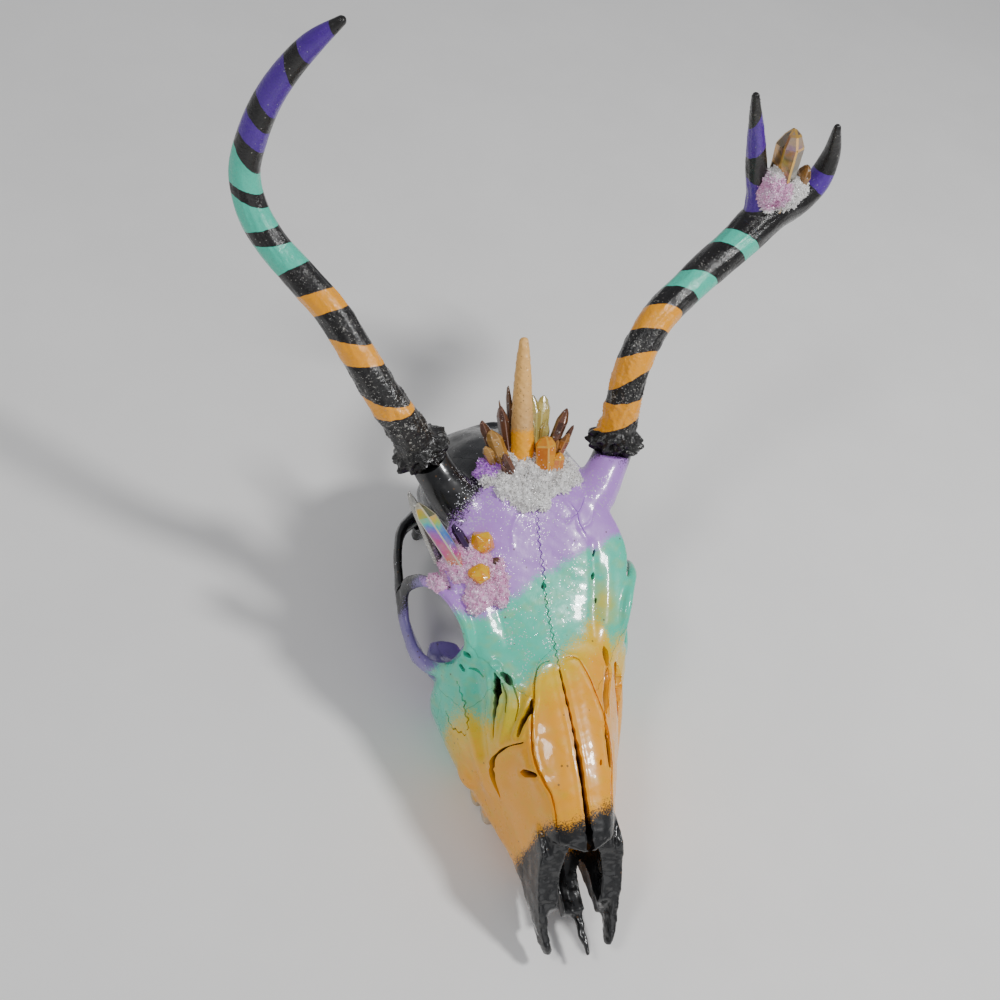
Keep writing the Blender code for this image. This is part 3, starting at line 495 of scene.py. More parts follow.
def carve(name, surface):
    # a blade that follows the bone, widest at its middle
    path, widths, depth = carving[name]
    path = np.asarray(path, float)
    step = carveForm["jaggedStep" if name in jagged else "step"]
    line = curveThrough(path, max(6, int(lengthAlong(path)[-1] / step)))
    found = [surface.find_nearest(Vector(point[:3]) * mm) for point in line]
    centre = np.array([tuple(hit[0] / mm) for hit in found])
    up = np.array([tuple(hit[1]) for hit in found])
    ahead = np.gradient(centre, axis=0)
    ahead /= np.linalg.norm(ahead, axis=1)[:, None] + 1e-9
    side = unit(np.cross(ahead, up))
    part = np.linspace(0, 1, len(line))
    rise = np.sin(np.pi * np.clip(part, 0.04, 0.96)) ** 0.5
    if widths:
        half = (widths[0] + (widths[1] - widths[0]) * (part if name == "slit" else rise)) / 2
    else:
        half = line[:, 3] / 2
    wide = half * (1 + carveForm["wobble"] * waves(centre, 4.0, len(name) * 0.1, 2))
    if name in jagged:
        count = np.arange(len(line))
        zigzag = np.where(count % 4 < 2, 1, -1) * np.where(count % 2, 0.55, 0.3)
        centre = centre + side * zigzag[:, None]
    turn = np.linspace(0, 2 * math.pi, 12, endpoint=False)
    rings = []
    for c, s, u, w, e in zip(centre, side, up, wide, rise):
        rings.append(c + np.outer(np.cos(turn) * max(w, carveForm["thinnest"]), s)
                     + np.outer(np.sin(turn) * depth * (0.35 + 0.65 * e), u))
    ends = []
    for end, way in ((0, -0.8), (-1, 0.8)):
        heart = rings[end].mean(0)
        ends.append(heart + (rings[end] - heart) * carveForm["endPart"] + ahead[end] * half[end] * way)
    return skinRings("carve", ends[:1] + rings + ends[1:])


# swells and troughs of the face: the line, the height, the reach, and whether it is on both sides
reliefs = [
    ([(-38, 134, 62), (-37.4, 124, 56), (-36.8, 112, 48), (-34, 100, 40), (-31, 88, 33)], 1.0, 3.0, True),
    ([(-33, 128, 66), (-32.6, 118, 60), (-32.6, 108, 52), (-31.6, 99, 45)], -1.2, 3.0, True),
    ([(-29.4, 122, 68), (-29.8, 114, 62.4), (-31.2, 105, 54)], 0.9, 1.3, False),
    ([(-22.6, 121, 72), (-22.4, 113, 69.6), (-24, 105, 64), (-26.6, 98, 56)], 0.8, 1.6, False),
    ([(-18.6, 112, 72.6), (-19.6, 106, 70), (-22.4, 100, 63)], -0.8, 1.8, False),
    ([(-24.6, 90, 57), (-25.4, 84, 49)], -0.8, 4.5, False),
    ([(-20.6, 88, 62), (-19.4, 82, 61), (-18.4, 74, 60)], 0.5, 2.2, True),
    ([(25, 170, 94.4), (24, 157, 88.4), (21.6, 143, 82.6), (20, 132, 79)], -0.8, 2.2, True),
    ([(32, 166, 89), (29.6, 152, 84.6), (27, 138, 79)], 0.6, 2.6, True),
    ([(14, 188, 103.6), (18, 182, 101.6), (19.4, 176, 98.8), (22.6, 171, 96)], 0.5, 0.9, False),
    ([(24, 191, 103), (20, 184, 102), (14, 179, 100)], 0.45, 0.8, False),
    ([(28, 186, 100), (24, 178, 98.6), (19.4, 176, 98.8)], 0.4, 0.8, False),
    ([(-6, 186, 103), (-12, 178, 100), (-13, 170, 96)], 0.35, 1.0, False),
]
wear = {  # each pair is the height and the size of a bump
    "bone": [(0.1, 14), (0.015, 3.2)],
    "tooth": (0.10, 2.4),
    "toothTop": 9,
    "lipHeight": 0.34,
    "lipWidth": 0.9,
    "snout": [(0.12, 8), (0.05, 2.8)],
    "snoutEnd": 64,
    "tips": (0.22, 5),
    "tipsEnd": 40,
    "tearPit": ((35, 122, 58), (9, 11, 9), 1.3),
    "nasal": (7, 4.5, 0.55),  # distance from the midline, reach, height
}


def roughen(skull):
    points, normals = pointsOf(skull), normalsOf(skull)

    def rough(pair, seed, at=points):
        return pair[0] * waves(at, pair[1], seed, 2)

    rise = rough(wear["bone"][0], 0.1) + rough(wear["bone"][1], 0.2)
    rise = np.where(points[:, 2] < wear["toothTop"], rough(wear["tooth"], 0.3, points * [1, 1, 0.3]), rise)
    for name in carving:
        if name in raised:
            path, widths, depth = carving[name]
            edge = (widths[1] if widths else 2) / 2 + 0.7
            rise = rise + wear["lipHeight"] * np.exp(-((farFrom(points, path) - edge) / wear["lipWidth"]) ** 2)
    for path, height, reach, both in reliefs:
        for side in ((1, -1) if both else (1,)):
            line = np.array(path, float) * [side, 1, 1]
            rise = rise + height * np.exp(-(farFrom(points, line) / reach) ** 2)
    snout = np.clip((wear["snoutEnd"] - points[:, 1]) / 10, 0, 1)  # the broken nose is rough all over
    tips = np.clip((wear["tipsEnd"] - points[:, 1]) / 14, 0, 1)
    rise = rise + snout * (rough(wear["snout"][0], 1.1) + rough(wear["snout"][1], 1.3))
    rise = rise + tips * rough(wear["tips"], 1.5)
    # the hollow in front of the orbit and the raised strip along each nasal bone
    centre, reach, depth = wear["tearPit"]
    off, width, height = wear["nasal"]
    onTop = (points[:, 1] < 122) & (points[:, 1] > 50) & (points[:, 2] > 50)
    for side in (-1, 1):
        rise = rise - depth * swell(points, np.array(centre) * [side, 1, 1], reach)
        strip = height * np.exp(-(np.abs(points[:, 0] - side * off) / width) ** 2)
        rise = rise + np.where(onTop, strip, 0)
    placePoints(skull, points + normals * rise[:, None])


seams = {  # the space that each bone fills, as (y, z) or (x, y) outlines
    "nasalEdge": [(30, 10), (44, 10.8), (56, 12), (70, 13.4), (80, 16.4), (92, 17), (104, 15), (116, 12),
                  (123, 8), (127, 2)],
    "nasalDepth": 7.5,
    "nasalTop": 140,
    "ragged": 0.45,
    # outline, axis it is drawn out along, span, whether its seam is ragged
    "cells": {
        "frontal": ([(-1, 100), (14, 108), (22, 116), (29, 127), (34, 134), (39, 138.5), (62, 139), (70, 230),
                     (40, 232), (27, 222), (20, 213), (10, 207), (-1, 206)], 2, (67, 200), True),
        "premaxilla": ([(0, -5), (44, -5), (47, 14), (56, 30), (61, 70), (0, 70)], 0, (4.8, 60), True),
        "lacrimal": ([(117, 50), (131, 45), (146, 48), (150, 80), (118, 80)], 0, (14, 60), True),
        "zygomatic": ([(126, 27), (134, 22), (150, 26), (187, 26), (181, 48), (184, 80), (150, 80), (138, 52),
                       (128, 42)], 0, (39, 80), True),
        "maxilla": ([(0, -5), (160, -5), (163, 14), (176, 30), (196, 95), (196, 140), (0, 140)], 0, (0, 80),
                    False),
    },
}


def nasalCell(grow):
    edge = np.array(seams["nasalEdge"], float)
    y = np.linspace(edge[0, 0], edge[-1, 0] + grow, 70)
    width = through(edge[:, 0], edge[:, 1:], y)[:, 0]
    width = width + 0.25 * waves(np.column_stack([y, y * 0, y * 0]), 6, 0.4, 2)
    roof = through(skullForm["stations"], skullForm["lines"]["roof"], y)[:, 1]
    rings, top = [], seams["nasalTop"]
    for at, wide, high in zip(y, width, roof):
        low = high - seams["nasalDepth"] - grow
        wide = max(wide, 0.6) + grow
        rings.append(np.array([(-grow, at, low), (wide, at, low), (wide, at, top), (-grow, at, top)]))
    return skinRings("cell", rings)


def boneCell(kind, seed, grow):
    if kind == "nasal":
        return nasalCell(grow)
    outline, axis, span, ragged = seams["cells"][kind]
    return prism("cell", outline, axis, span, grow, seams["ragged"] if ragged else 0, seed)


def partBones(skull):
    bones, half = {}, skullForm["suture"] / 2
    for seed, kind in enumerate(["nasal", *seams["cells"]]):
        for side in ("left", "right"):
            inner, outer = boneCell(kind, seed, -half), boneCell(kind, seed, half)
            if side == "right":
                mirror(inner)
                mirror(outer)
            bone = copied(skull, f"{kind}_{side}")
            combine(bone, [inner], "INTERSECT")
            combine(skull, [outer], "DIFFERENCE")
            keepLargest(bone)
            bones[f"{kind}_{side}"] = bone
    keepLargest(skull)
    bones["braincase"] = skull
    return bones


skull = wholeSkull()
roughen(skull)
surface = BVHTree.FromObject(skull, bpy.context.evaluated_depsgraph_get())
for cutter in [carve(name, surface) for name in carving]:
    combine(skull, [cutter], "DIFFERENCE")
combine(skull, [halfSpace((0, 0, 0), (0, 0, -1))], "DIFFERENCE")
for base, ahead in skullForm["burrs"]:
    room = blob("near", base, [skullForm["burrRoom"]] * 3)
    cut = combine(halfSpace(base, Vector(ahead) - Vector(base)), [room], "INTERSECT", "EXACT")
    combine(skull, [cut], "DIFFERENCE")
keepLargest(skull)
print("skull carved", len(skull.data.vertices))
bones = partBones(skull)
print("bones", {name: len(bone.data.vertices) for name, bone in bones.items()})


# where each colour of paint starts and ends, as the distance in millimetres past its edge

paintEdges = {  # x, and the y where the colour starts there
    "lilac": [(-60, 146), (-44, 148), (-36, 146.5), (-28, 145.5), (-21.6, 147.5), (-11.7, 153.5),
              (-1.7, 158.9), (13, 163.9), (28.5, 169.7), (38.6, 175), (60, 186)],
    "teal": [(-60, 113), (-40, 113.5), (-35.5, 111), (-29.8, 103), (-25.2, 103), (-19.3, 107),
             (-12.8, 110.5), (-2.5, 117.4), (8.3, 124.2), (17.7, 133), (23.2, 136), (27.7, 126),
             (40.3, 129), (60, 130)],
    "orange": [(-60, 56), (-20.6, 57.5), (-18, 59.5), (-13, 59.3), (-7.5, 56.4), (1.4, 58.7),
               (13.3, 63.1), (24, 64), (60, 64)],
    "black": [(-60, 181), (-34, 184), (-30, 187.5), (-26, 193), (-20, 200), (-13, 208), (0, 213),
              (20, 217), (30, 213), (38, 208), (46, 204), (60, 200)],
}
wanderOf = {"lilac": 1, "teal": 1, "orange": 0.6, "black": 1}
headForm = {
    "caseTop": 84, "caseFrom": 160, "caseBlackFrom": 172,  # the braincase's sides and back
    "cheekX": -36, "cheekFrom": 150, "cheekTop": 82, "cheekBlackFrom": 171,
    "plateX": -36.5, "plateFrom": 141, "floorX": -27, "floorFrom": 139, "floorTop": 52, "plumTop": 74,
    "teethFrom": 82, "teethTo": 156, "teethX": 15, "toothTop": 3.6, "toothOuter": 30,
    "shineFrom": 112,
}
shineSpots = [  # centre, reach, strength
    ((-2, 196, 105), 18, 0.9), ((-29, 192, 100), (7, 12, 12), 0.75), ((-30, 158, 88), 14, 0.75),
    ((-14, 128, 79), (9, 20, 12), 0.3), ((15, 150, 88), (9, 22, 16), 0.28),
    ((30, 196, 103), (8, 14, 12), 0.3)]
oliveSpots = [((-24, 108, 66), (7, 11, 9), 1.2), ((27, 146, 82), (5, 9, 12), 1.1),
              ((-36, 112, 46), (6, 7, 9), 0.6)]


def spots(points, table):
    return sum(strength * swell(points, centre, reach) for centre, reach, strength in table)


def paintBone(bone):
    form = headForm
    points = pointsOf(bone)
    x, y, z = points.T
    wander = 1.2 * waves(points, 16, 0.6, 2)
    edges = {}
    for name, line in paintEdges.items():
        line = np.array(line, float)
        edges[name] = y - np.interp(x, line[:, 0], line[:, 1]) + wander * wanderOf[name]
    black = edges["black"]
    low = (z < form["caseTop"]) & (y > form["caseFrom"])
    behind = np.minimum(y - form["caseBlackFrom"], form["caseTop"] - z)
    black = np.where(low, np.maximum(black, behind), black)
    cheek = (x < form["cheekX"]) & (y > form["cheekFrom"]) & (z < form["cheekTop"])
    edges["black"] = np.where(cheek, y - form["cheekBlackFrom"] + wander, black)
    # the cheek plate and the orbit's floor
    plum = np.minimum(form["plateX"] - x, y - form["plateFrom"]) + wander * 0.5
    inOrbit = np.minimum(np.minimum(y - form["floorFrom"], form["floorTop"] - z), form["floorX"] - x)
    edges["plum"] = np.where(z > form["plumTop"], -9, np.maximum(plum, inOrbit))
    # the spray reached the outer side of the teeth
    inward = np.clip((form["toothOuter"] - np.abs(x)) * 0.9, -5, 6)
    row = (y > form["teethFrom"]) & (y < form["teethTo"]) & (np.abs(x) > form["teethX"])
    edges["tooth"] = np.where(row, form["toothTop"] + inward - z, -6)
    shine = spots(points, shineSpots)
    shine += 0.5 * np.exp(-((x + 0.3) / 2.6) ** 2) * (y > 118) * (y < 192) * (z > 70)  # along the midline
    shine = np.clip(shine + 0.1 * waves(points, 7, 0.9, 2) - 0.06, 0, 1)
    edges["shine"] = shine * np.clip((y - form["shineFrom"]) / 12, 0, 1)
    edges["olive"] = np.clip(spots(points, oliveSpots) + 0.15 * waves(points, 6, 1.2, 2), 0, 1)
    # how far inside a crack or a hollow
    edges["deep"] = [surface.find_nearest(Vector(point) * mm)[3] / mm for point in points]
    for name, values in edges.items():
        setField(bone, name, values)


for bone in bones.values():
    paintBone(bone)
print("paint edges laid out")


# materials: a wire is a value in the newest material, and arithmetic on it adds the nodes for it

class Wire:
    tree = None

    def __init__(self, socket):
        self.socket = socket

    def __add__(self, other):
        return maths("ADD", self, other)

    def __sub__(self, other):
        return maths("SUBTRACT", self, other)

    def __mul__(self, other):
        return maths("MULTIPLY", self, other)


def node(kind, **settings):
    made = Wire.tree.nodes.new("ShaderNode" + kind)
    for name, value in settings.items():
        setattr(made, name, value)
    return made


def feed(target, source):
    if isinstance(source, Wire):
        Wire.tree.links.new(source.socket, target)
    elif isinstance(source, tuple) and len(target.default_value) == 4:
        target.default_value = (*source, 1)
    else:
        target.default_value = source


def plug(shader, **sockets):
    for name, value in sockets.items():
        feed(shader.inputs[name.replace("_", " ")], value)


def maths(operation, *values):
    made = node("Math", operation=operation)
    for socket, value in zip(made.inputs, values):
        feed(socket, value)
    return Wire(made.outputs[0])


def mix(factor, a, b, blend="MIX"):
    made = node("Mix", data_type="RGBA", blend_type=blend)
    for socket, value in ((0, factor), (6, a), (7, b)):
        feed(made.inputs[socket], value)
    return Wire(made.outputs[2])


def field(name):
    return Wire(node("Attribute", attribute_name=name).outputs["Fac"])


def ease(value, low, high, outLow=0.0, outHigh=1.0):
    made = node("MapRange", interpolation_type="SMOOTHSTEP")
    plug(made, Value=value, From_Min=low, From_Max=high, To_Min=outLow, To_Max=outHigh)
    return Wire(made.outputs[0])


def grain(scale, detail=2.0, rough=0.5, stretch=None):
    place = Wire(node("TexCoord").outputs["Object"])
    if stretch:
        bend = node("Mapping")
        bend.inputs["Scale"].default_value = stretch
        feed(bend.inputs["Vector"], place)
        place = Wire(bend.outputs[0])
    made = node("TexNoise")
    plug(made, Vector=place, Scale=scale, Detail=detail, Roughness=rough)
    return Wire(made.outputs["Fac"])


def flecks(scale, amount, size):
    # a fleck in some of the cells, more of them where amount is higher, and two random numbers a cell
    made = node("TexVoronoi")
    plug(made, Vector=Wire(node("TexCoord").outputs["Object"]), Scale=scale)
    pick = node("SeparateColor")
    feed(pick.inputs[0], Wire(made.outputs["Color"]))
    red, green, blue = (Wire(output) for output in pick.outputs)
    fleck = maths("LESS_THAN", red, amount) * maths("LESS_THAN", Wire(made.outputs["Distance"]), size)
    return fleck, green, blue


def bump(height, strength, distance):
    made = node("Bump")
    plug(made, Strength=strength, Distance=distance, Height=height)
    return Wire(made.outputs[0])


def newMaterial(name, roughness=0.4, coat=0.0, coatRoughness=0.05, **sockets):
    made = bpy.data.materials.new(name)
    made.use_nodes = True
    Wire.tree = made.node_tree
    shader = made.node_tree.nodes["Principled BSDF"]
    plug(shader, Roughness=roughness, Coat_Weight=coat, Coat_Roughness=coatRoughness, **sockets)
    return made, shader


paintLook = {
    "orange": (0.97, 0.375, 0.0),
    "orangeLight": (0.97, 0.42, 0.0),
    "yellow": (0.86, 0.53, 0.0),
    "teal": (0.055, 0.62, 0.42),
    "tealLight": (0.08, 0.70, 0.48),
    "lilac": (0.46, 0.20, 0.72),
    "lilacLight": (0.52, 0.26, 0.76),
    "plum": (0.17, 0.15, 0.36),
    "plumLight": (0.26, 0.18, 0.50),
    "black": (0.003, 0.003, 0.0035),
    "olive": (0.50, 0.52, 0.02),
    "oliveLight": (0.80, 0.55, 0.01),
    "ivory": (0.72, 0.58, 0.38),
    "ivoryDark": (0.42, 0.27, 0.12),
    "dots": (0.10, 0.045, 0.01),
    # painted shade: the dark colour that cracks and hollows are darkened towards, deeper in
    "paintedCrackShade": (0.05, 0.012, 0.002),
    "glitter": (0.93, 0.93, 0.95),
    "glitterDark": (0.80, 0.78, 0.86),
    "speckle": 5.0,
    "roughness": 0.34,
    "coat": 0.6,
}


def skullPaint():
    look = paintLook
    made, shader = newMaterial("banded_paint", look["roughness"], look["coat"], 0.07)
    loose = (grain(1500, 2, 0.7) - 0.5) * (look["speckle"] * 4) + (grain(160, 3, 0.6) - 0.5) * look["speckle"]

    def past(name, low, high, scatter):
        return ease(field(name) + loose * scatter, low, high)

    def shade(name, scale, detail=2, rough=0.5):
        return mix(grain(scale, detail, rough), look[name], look[name + "Light"])

    tone = mix(past("teal", -15, 0, 1.2), shade("orange", 60, 3, 0.6), look["yellow"])
    tone = mix(past("teal", 0.5, 9, 0.9), tone, look["teal"])
    tone = mix(ease(field("teal"), 8, 14), tone, shade("teal", 45, 3, 0.6))
    tone = mix(field("olive") * 0.85, tone, shade("olive", 170, 3, 0.7))
    tone = mix(past("lilac", -2.4, 2.4, 0.45), tone, shade("lilac", 50))
    tone = mix(past("plum", -2.5, 2.5, 0.6), tone, shade("plum", 70))
    tone = mix(past("orange", 2.2, -2.2, 0.7), tone, look["black"])
    tone = mix(past("black", -2.6, 2.6, 0.8), tone, look["black"])
    dots, _, _ = flecks(420, 0.05, 0.2)
    tone = mix(dots * 0.75, tone, look["dots"])
    # painted shade: the paint darkens the deeper a point lies inside a crack or a hollow
    tone = mix(ease(field("deep"), 0.3, 3.8, 0.0, 0.97), tone, look["paintedCrackShade"], "MULTIPLY")
    enamel = mix(grain(300, 4, 0.6, (1, 1, 0.25)), look["ivory"], look["ivoryDark"])
    tone = mix(past("tooth", -0.5, 1.5, 0.5), tone, enamel)
    sparkle, first, second = flecks(1600, field("shine") * 0.8, 0.42)
    tone = mix(sparkle * 0.85, tone, mix(ease(first, 0.2, 0.9), look["glitter"], look["glitterDark"]))
    rough = ease(grain(220, 3, 0.6), 0.3, 0.75, look["roughness"] - 0.1, look["roughness"] + 0.14)
    height = grain(380, 3, 0.6) * 0.9 + sparkle * second * 1.4 - dots * 1.2
    plug(shader, Base_Color=tone, Metallic=sparkle * 0.45, Roughness=rough - sparkle * 0.12,
         Normal=bump(height, 0.18, 0.00035), Coat_Normal=bump(grain(170, 3, 0.6), 0.05, 0.0006))
    return made


def dress(target, material, replaced, sharp):
    target.data.materials.clear()
    target.data.materials.append(material)
    target.data.shade_smooth()
    target.data.set_sharp_from_angle(angle=math.radians(sharp))
    target.data.transform(Matrix.Translation(-Vector(middle) * mm))
    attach(target, "root")
    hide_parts(replaced)
    pieces.append(target)


banded = skullPaint()
for name, bone in bones.items():
    bone.name = "painted_" + name
    dress(bone, banded, name, 50)
print("skull painted")


# antlers

antlerForm = {
    "spike": [(-45, 215, 105, 8.6), (-58, 221, 123, 8.2), (-66, 227, 132, 7.8), (-78, 240, 147, 7.4),
              (-88, 252, 158, 7.2), (-100, 264, 166, 7), (-111, 275, 174, 6.8), (-119, 284, 185, 6.6),
              (-122, 290, 198, 6.4), (-120, 292, 213, 6.2), (-116, 293, 228, 5.8), (-109, 292, 245, 5.2),
              (-101, 289, 260, 4.2), (-93, 286, 271, 2)],
    "beam": [(45, 215, 105, 8.6), (46, 223, 121, 8), (49, 234, 140, 7.8), (60, 248, 155, 7.8),
             (79, 262, 164, 8), (103, 277, 175, 8.8), (121, 288, 185, 9.2), (136, 294, 188, 7.4),
             (144, 297, 196, 6.2), (146, 299, 208, 4.6), (141, 298, 226, 1.8)],
    "tine": [(112, 284, 182, 6), (110, 288, 196, 5.6), (105, 289, 206, 5), (98, 289, 222, 4.2),
             (86, 287, 248, 1.8)],
    "forkCut": ((108, 280, 177.5), (0.8, 0.5, 0.33)),
    "tineCut": ((122, 289, 194), (0.9, 0.1, -0.42)),
    "burrReach": 4.6,
    "burrHeight": 9,
    "sideways": (0.9475, -0.2277, 0.2245),
    "flat": (0.3, -0.8, 0.5),
    "voxel": 0.7,
    "gap": 0.06,
}
# each band of paint: where it starts and ends along the antler at its left side, then at its right side
antlerBands = {
    "spike": {"orange": [(31.8, 43.7, 24.4, 26.8), (57.9, 71.0, 48.8, 57.9), (81.8, 93.7, 76.1, 84.0)],
              "teal": [(104.5, 119.3, 98.8, 109.1), (124.4, 139.8, 119.3, 129.0),
                       (143.8, 158.6, 136.4, 146.6)],
              "purple": [(164.3, 173.4, 158.0, 166.6), (181.9, 201.8, 174.0, 189.9),
                         (208.6, 223.4, 204.1, 220.5)]},
    "beam": {"orange": [(8.6, 22.3, 17.7, 27.4), (27.9, 41.0, 42.0, 51.6), (53.2, 63.4, 61.9, 74.4)],
             "teal": [(73.4, 84.6, 86.1, 99.8), (106.4, 117.0, 117.5, 126.1)],
             "purple": [(167.3, 177.9, 168.3, 177.4)]},
    "tine": {"orange": [], "teal": [], "purple": [(6.0, 26.8, 9.9, 19.2), (37.6, 54.3, 42.9, 62.4)]},
}


def antlerTube(name, path, around=40):
    path = curveThrough(path, 220)
    ahead = path[-1, :3] - path[-2, :3]
    ahead /= np.linalg.norm(ahead)
    tip = path[-1].copy()
    for turn in np.radians((20, 40, 60, 78)):  # a round end
        end = tip[:3] + ahead * tip[3] * math.sin(turn)
        path = np.vstack([path, np.append(end, tip[3] * math.cos(turn))])
    return tube(name, path[:, [0, 1, 2, 3, 3]], antlerForm["flat"], around)


def alongAntler(points, path, chunk=8000):
    # for each point: how far along the path it is, its reach from it, the way out, the angle, the radius
    line = curveThrough(path, 500)
    centre = line[:, :3]
    nearest = np.empty(len(points), int)
    for start in range(0, len(points), chunk):
        some = points[start:start + chunk]
        nearest[start:start + chunk] = ((some[:, None] - centre[None]) ** 2).sum(2).argmin(1)
    ahead = headings(centre)[nearest]
    away = points - centre[nearest]
    lengthwise = (away * ahead).sum(1)
    s = lengthAlong(centre)[nearest] + np.clip(lengthwise, -3, 3)
    out = away - ahead * lengthwise[:, None]
    reach = np.linalg.norm(out, axis=1)
    flat = np.array(antlerForm["flat"])
    thick = unit(flat - ahead * (ahead @ flat)[:, None])
    angle = np.arctan2((out * thick).sum(1), (out * np.cross(ahead, thick)).sum(1))
    return s, reach, out / np.maximum(reach, 1e-6)[:, None], angle, line[nearest, 3]


def bandField(s, out, bands):
    # signed distance into the nearest band of a colour, positive inside it
    side = out @ np.array(antlerForm["sideways"])
    left, right = (1 - side) / 2, (1 + side) / 2
    inside = np.full(len(s), -50.0)
    for leftLow, leftHigh, rightLow, rightHigh in bands:
        low, high = leftLow * left + rightLow * right, leftHigh * left + rightHigh * right
        inside = np.maximum(inside, np.minimum(s - low, high - s))
    return inside


def finishAntler(target, names):
    form = antlerForm
    points = pointsOf(target)
    found = [alongAntler(points, form[name]) for name in names]
    onMain = np.ones(len(points), bool)
    if len(names) > 1:
        onMain = found[1][1] / found[1][4] >= found[0][1] / found[0][4]
    s, angle = (np.where(onMain, found[0][i], found[-1][i]) for i in (0, 3))
    out = np.where(onMain[:, None], found[0][2], found[-1][2])

    def ring(radius, stretch, size, seed, depth=2):
        at = np.column_stack([np.cos(angle) * radius, np.sin(angle) * radius, s * stretch])
        return waves(at, size, seed, depth)

    pearls = np.clip(ring(8, 1, 3.6, 0.5), 0, None)
    fade = np.exp(-np.clip(s - 8, 0, None) / 40)
    smoothTip = np.clip((190 - s) / 60, 0.15, 1)
    rise = 0.16 * ring(8, 0.12, 3.4, 0.3) * smoothTip + np.where(onMain, 0.75 * pearls * fade, 0.1 * pearls)
    height = s / form["burrHeight"]
    flare = form["burrReach"] * np.exp(-((height - 0.5 + 0.1 * np.sin(angle * 5)) / 0.5) ** 4)
    knobs, fineKnobs = ring(12, 1.1, 6, 0.8), ring(12, 1, 2.8, 0.9, 1)
    burr = flare * (0.7 + 0.34 * np.clip(knobs, -1.3, 1.3) + 0.12 * np.clip(fineKnobs, -1, 1))
    rise = rise + np.where(onMain & (s < 14), burr, 0)
    placePoints(target, points + out * rise[:, None])
    for colour in ("orange", "teal", "purple"):
        values = [bandField(spot[0], spot[2], antlerBands[name][colour]) for name, spot in zip(names, found)]
        setField(target, colour, np.where(onMain, values[0], values[-1]))
    # where the glitter flecks and the painted highlight streaks go, most near the burr
    shine = 0.5 * np.exp(-s / 60) * onMain * np.clip((s - 9) / 8, 0.12, 1) + 0.08 * waves(points, 12, 0.4, 2)
    setField(target, "shine", np.clip(shine, 0.0, 0.9))


antlerLook = {
    "orange": (0.97, 0.35, 0.0),
    "orangeLight": (0.97, 0.41, 0.0),
    "teal": (0.045, 0.56, 0.40),
    "tealLight": (0.07, 0.64, 0.45),
    "purple": (0.055, 0.006, 0.26),
    "purpleLight": (0.10, 0.02, 0.36),
    "black": (0.003, 0.003, 0.003),
    "blackLight": (0.010, 0.008, 0.007),
    # the colour of the glitter flecks and of the painted highlight streaks
    "silver": (0.62, 0.60, 0.55),
    "roughness": 0.3,
    "coat": 0.35,
}


def antlerPaint():
    look = antlerLook
    made, shader = newMaterial("striped_paint", look["roughness"], look["coat"], 0.09)
    wander = (grain(260, 3, 0.6) - 0.5) * 1.1
    tone = mix(grain(140, 3, 0.6), look["black"], look["blackLight"])
    for colour in ("orange", "teal", "purple"):
        band = mix(grain(240, 3, 0.7), look[colour], look[colour + "Light"])
        tone = mix(ease(field(colour) + wander, -0.12, 0.12), tone, band)
    sparkle, _, second = flecks(1700, field("shine") * 0.45, 0.44)
    # painted highlight: light silver streaks on the black stand in for glare
    paintedGlint = ease(grain(620, 4, 0.7) + field("shine") * 0.22, 0.66, 0.74) * ease(field("shine"), 0.02, 0.25)
    painted = ease(maths("MAXIMUM", field("orange"), field("teal")), 0.2, -0.2, 0.25, 1)
    # glitter flecks together with the painted highlight streaks, less on the orange and teal bands
    glitterAndPaintedGlint = maths("MAXIMUM", sparkle * 0.5, paintedGlint * 0.75) * painted
    rough = ease(grain(300, 3, 0.6), 0.3, 0.75, look["roughness"] - 0.12, look["roughness"] + 0.14)
    plug(shader, Base_Color=mix(glitterAndPaintedGlint, tone, look["silver"]), Metallic=glitterAndPaintedGlint * 0.8, Roughness=rough,
         Normal=bump(grain(520, 4, 0.65) + sparkle * second * 0.8, 0.7, 0.0006),
         Coat_Normal=bump(grain(400, 4, 0.7), 0.55, 0.0008))
    return made


striped = antlerPaint()
spike = fused("painted_spike", [antlerTube("spike", antlerForm["spike"])], antlerForm["voxel"], 2)
finishAntler(spike, ["spike"])
forked = fused("painted_beam", [antlerTube(name, antlerForm[name]) for name in ("beam", "tine")],
               antlerForm["voxel"], 5)
finishAntler(forked, ["beam", "tine"])
half = antlerForm["gap"] / 2
inner, outer = copied(forked, "painted_inner_tine"), copied(forked, "painted_outer_tine")
combine(forked, [halfSpace(*antlerForm["forkCut"], -half)], "DIFFERENCE")
for made, way in ((inner, -1), (outer, 1)):
    spot, ahead = antlerForm["tineCut"]
    combine(made, [halfSpace(*antlerForm["forkCut"], half)], "INTERSECT")
    combine(made, [halfSpace(spot, Vector(ahead) * way, half)], "INTERSECT")
antlerNodes = {"antler_right": spike, "antler_left_beam": forked, "antler_left_inner_tine": inner,
               "antler_left_outer_tine": outer}
for made in antlerNodes.values():
    keepLargest(made)
forkTrees = [BVHTree.FromObject(made, bpy.context.evaluated_depsgraph_get()) for made in (forked, inner, outer)]
for name, made in antlerNodes.items():
    dress(made, striped, name, 60)
print("antlers")


# the bare tine on the crown

crownTine = {
    "path": [(0, 206, 98, 5.6), (-0.5, 216, 109, 5.3), (-1, 228, 123, 4.5), (-1, 240, 137, 3.3),
             (-1, 246, 144, 2.2)],
    "bone": (0.56, 0.30, 0.09),
    "boneLight": (0.78, 0.47, 0.18),
    "tip": (0.90, 0.50, 0.14),
    "pores": (0.22, 0.11, 0.04),
    "paint": (1.0, 0.36, 0.0),
    "paintLight": (1.0, 0.48, 0.0),
    "paintedUpTo": 22,
}


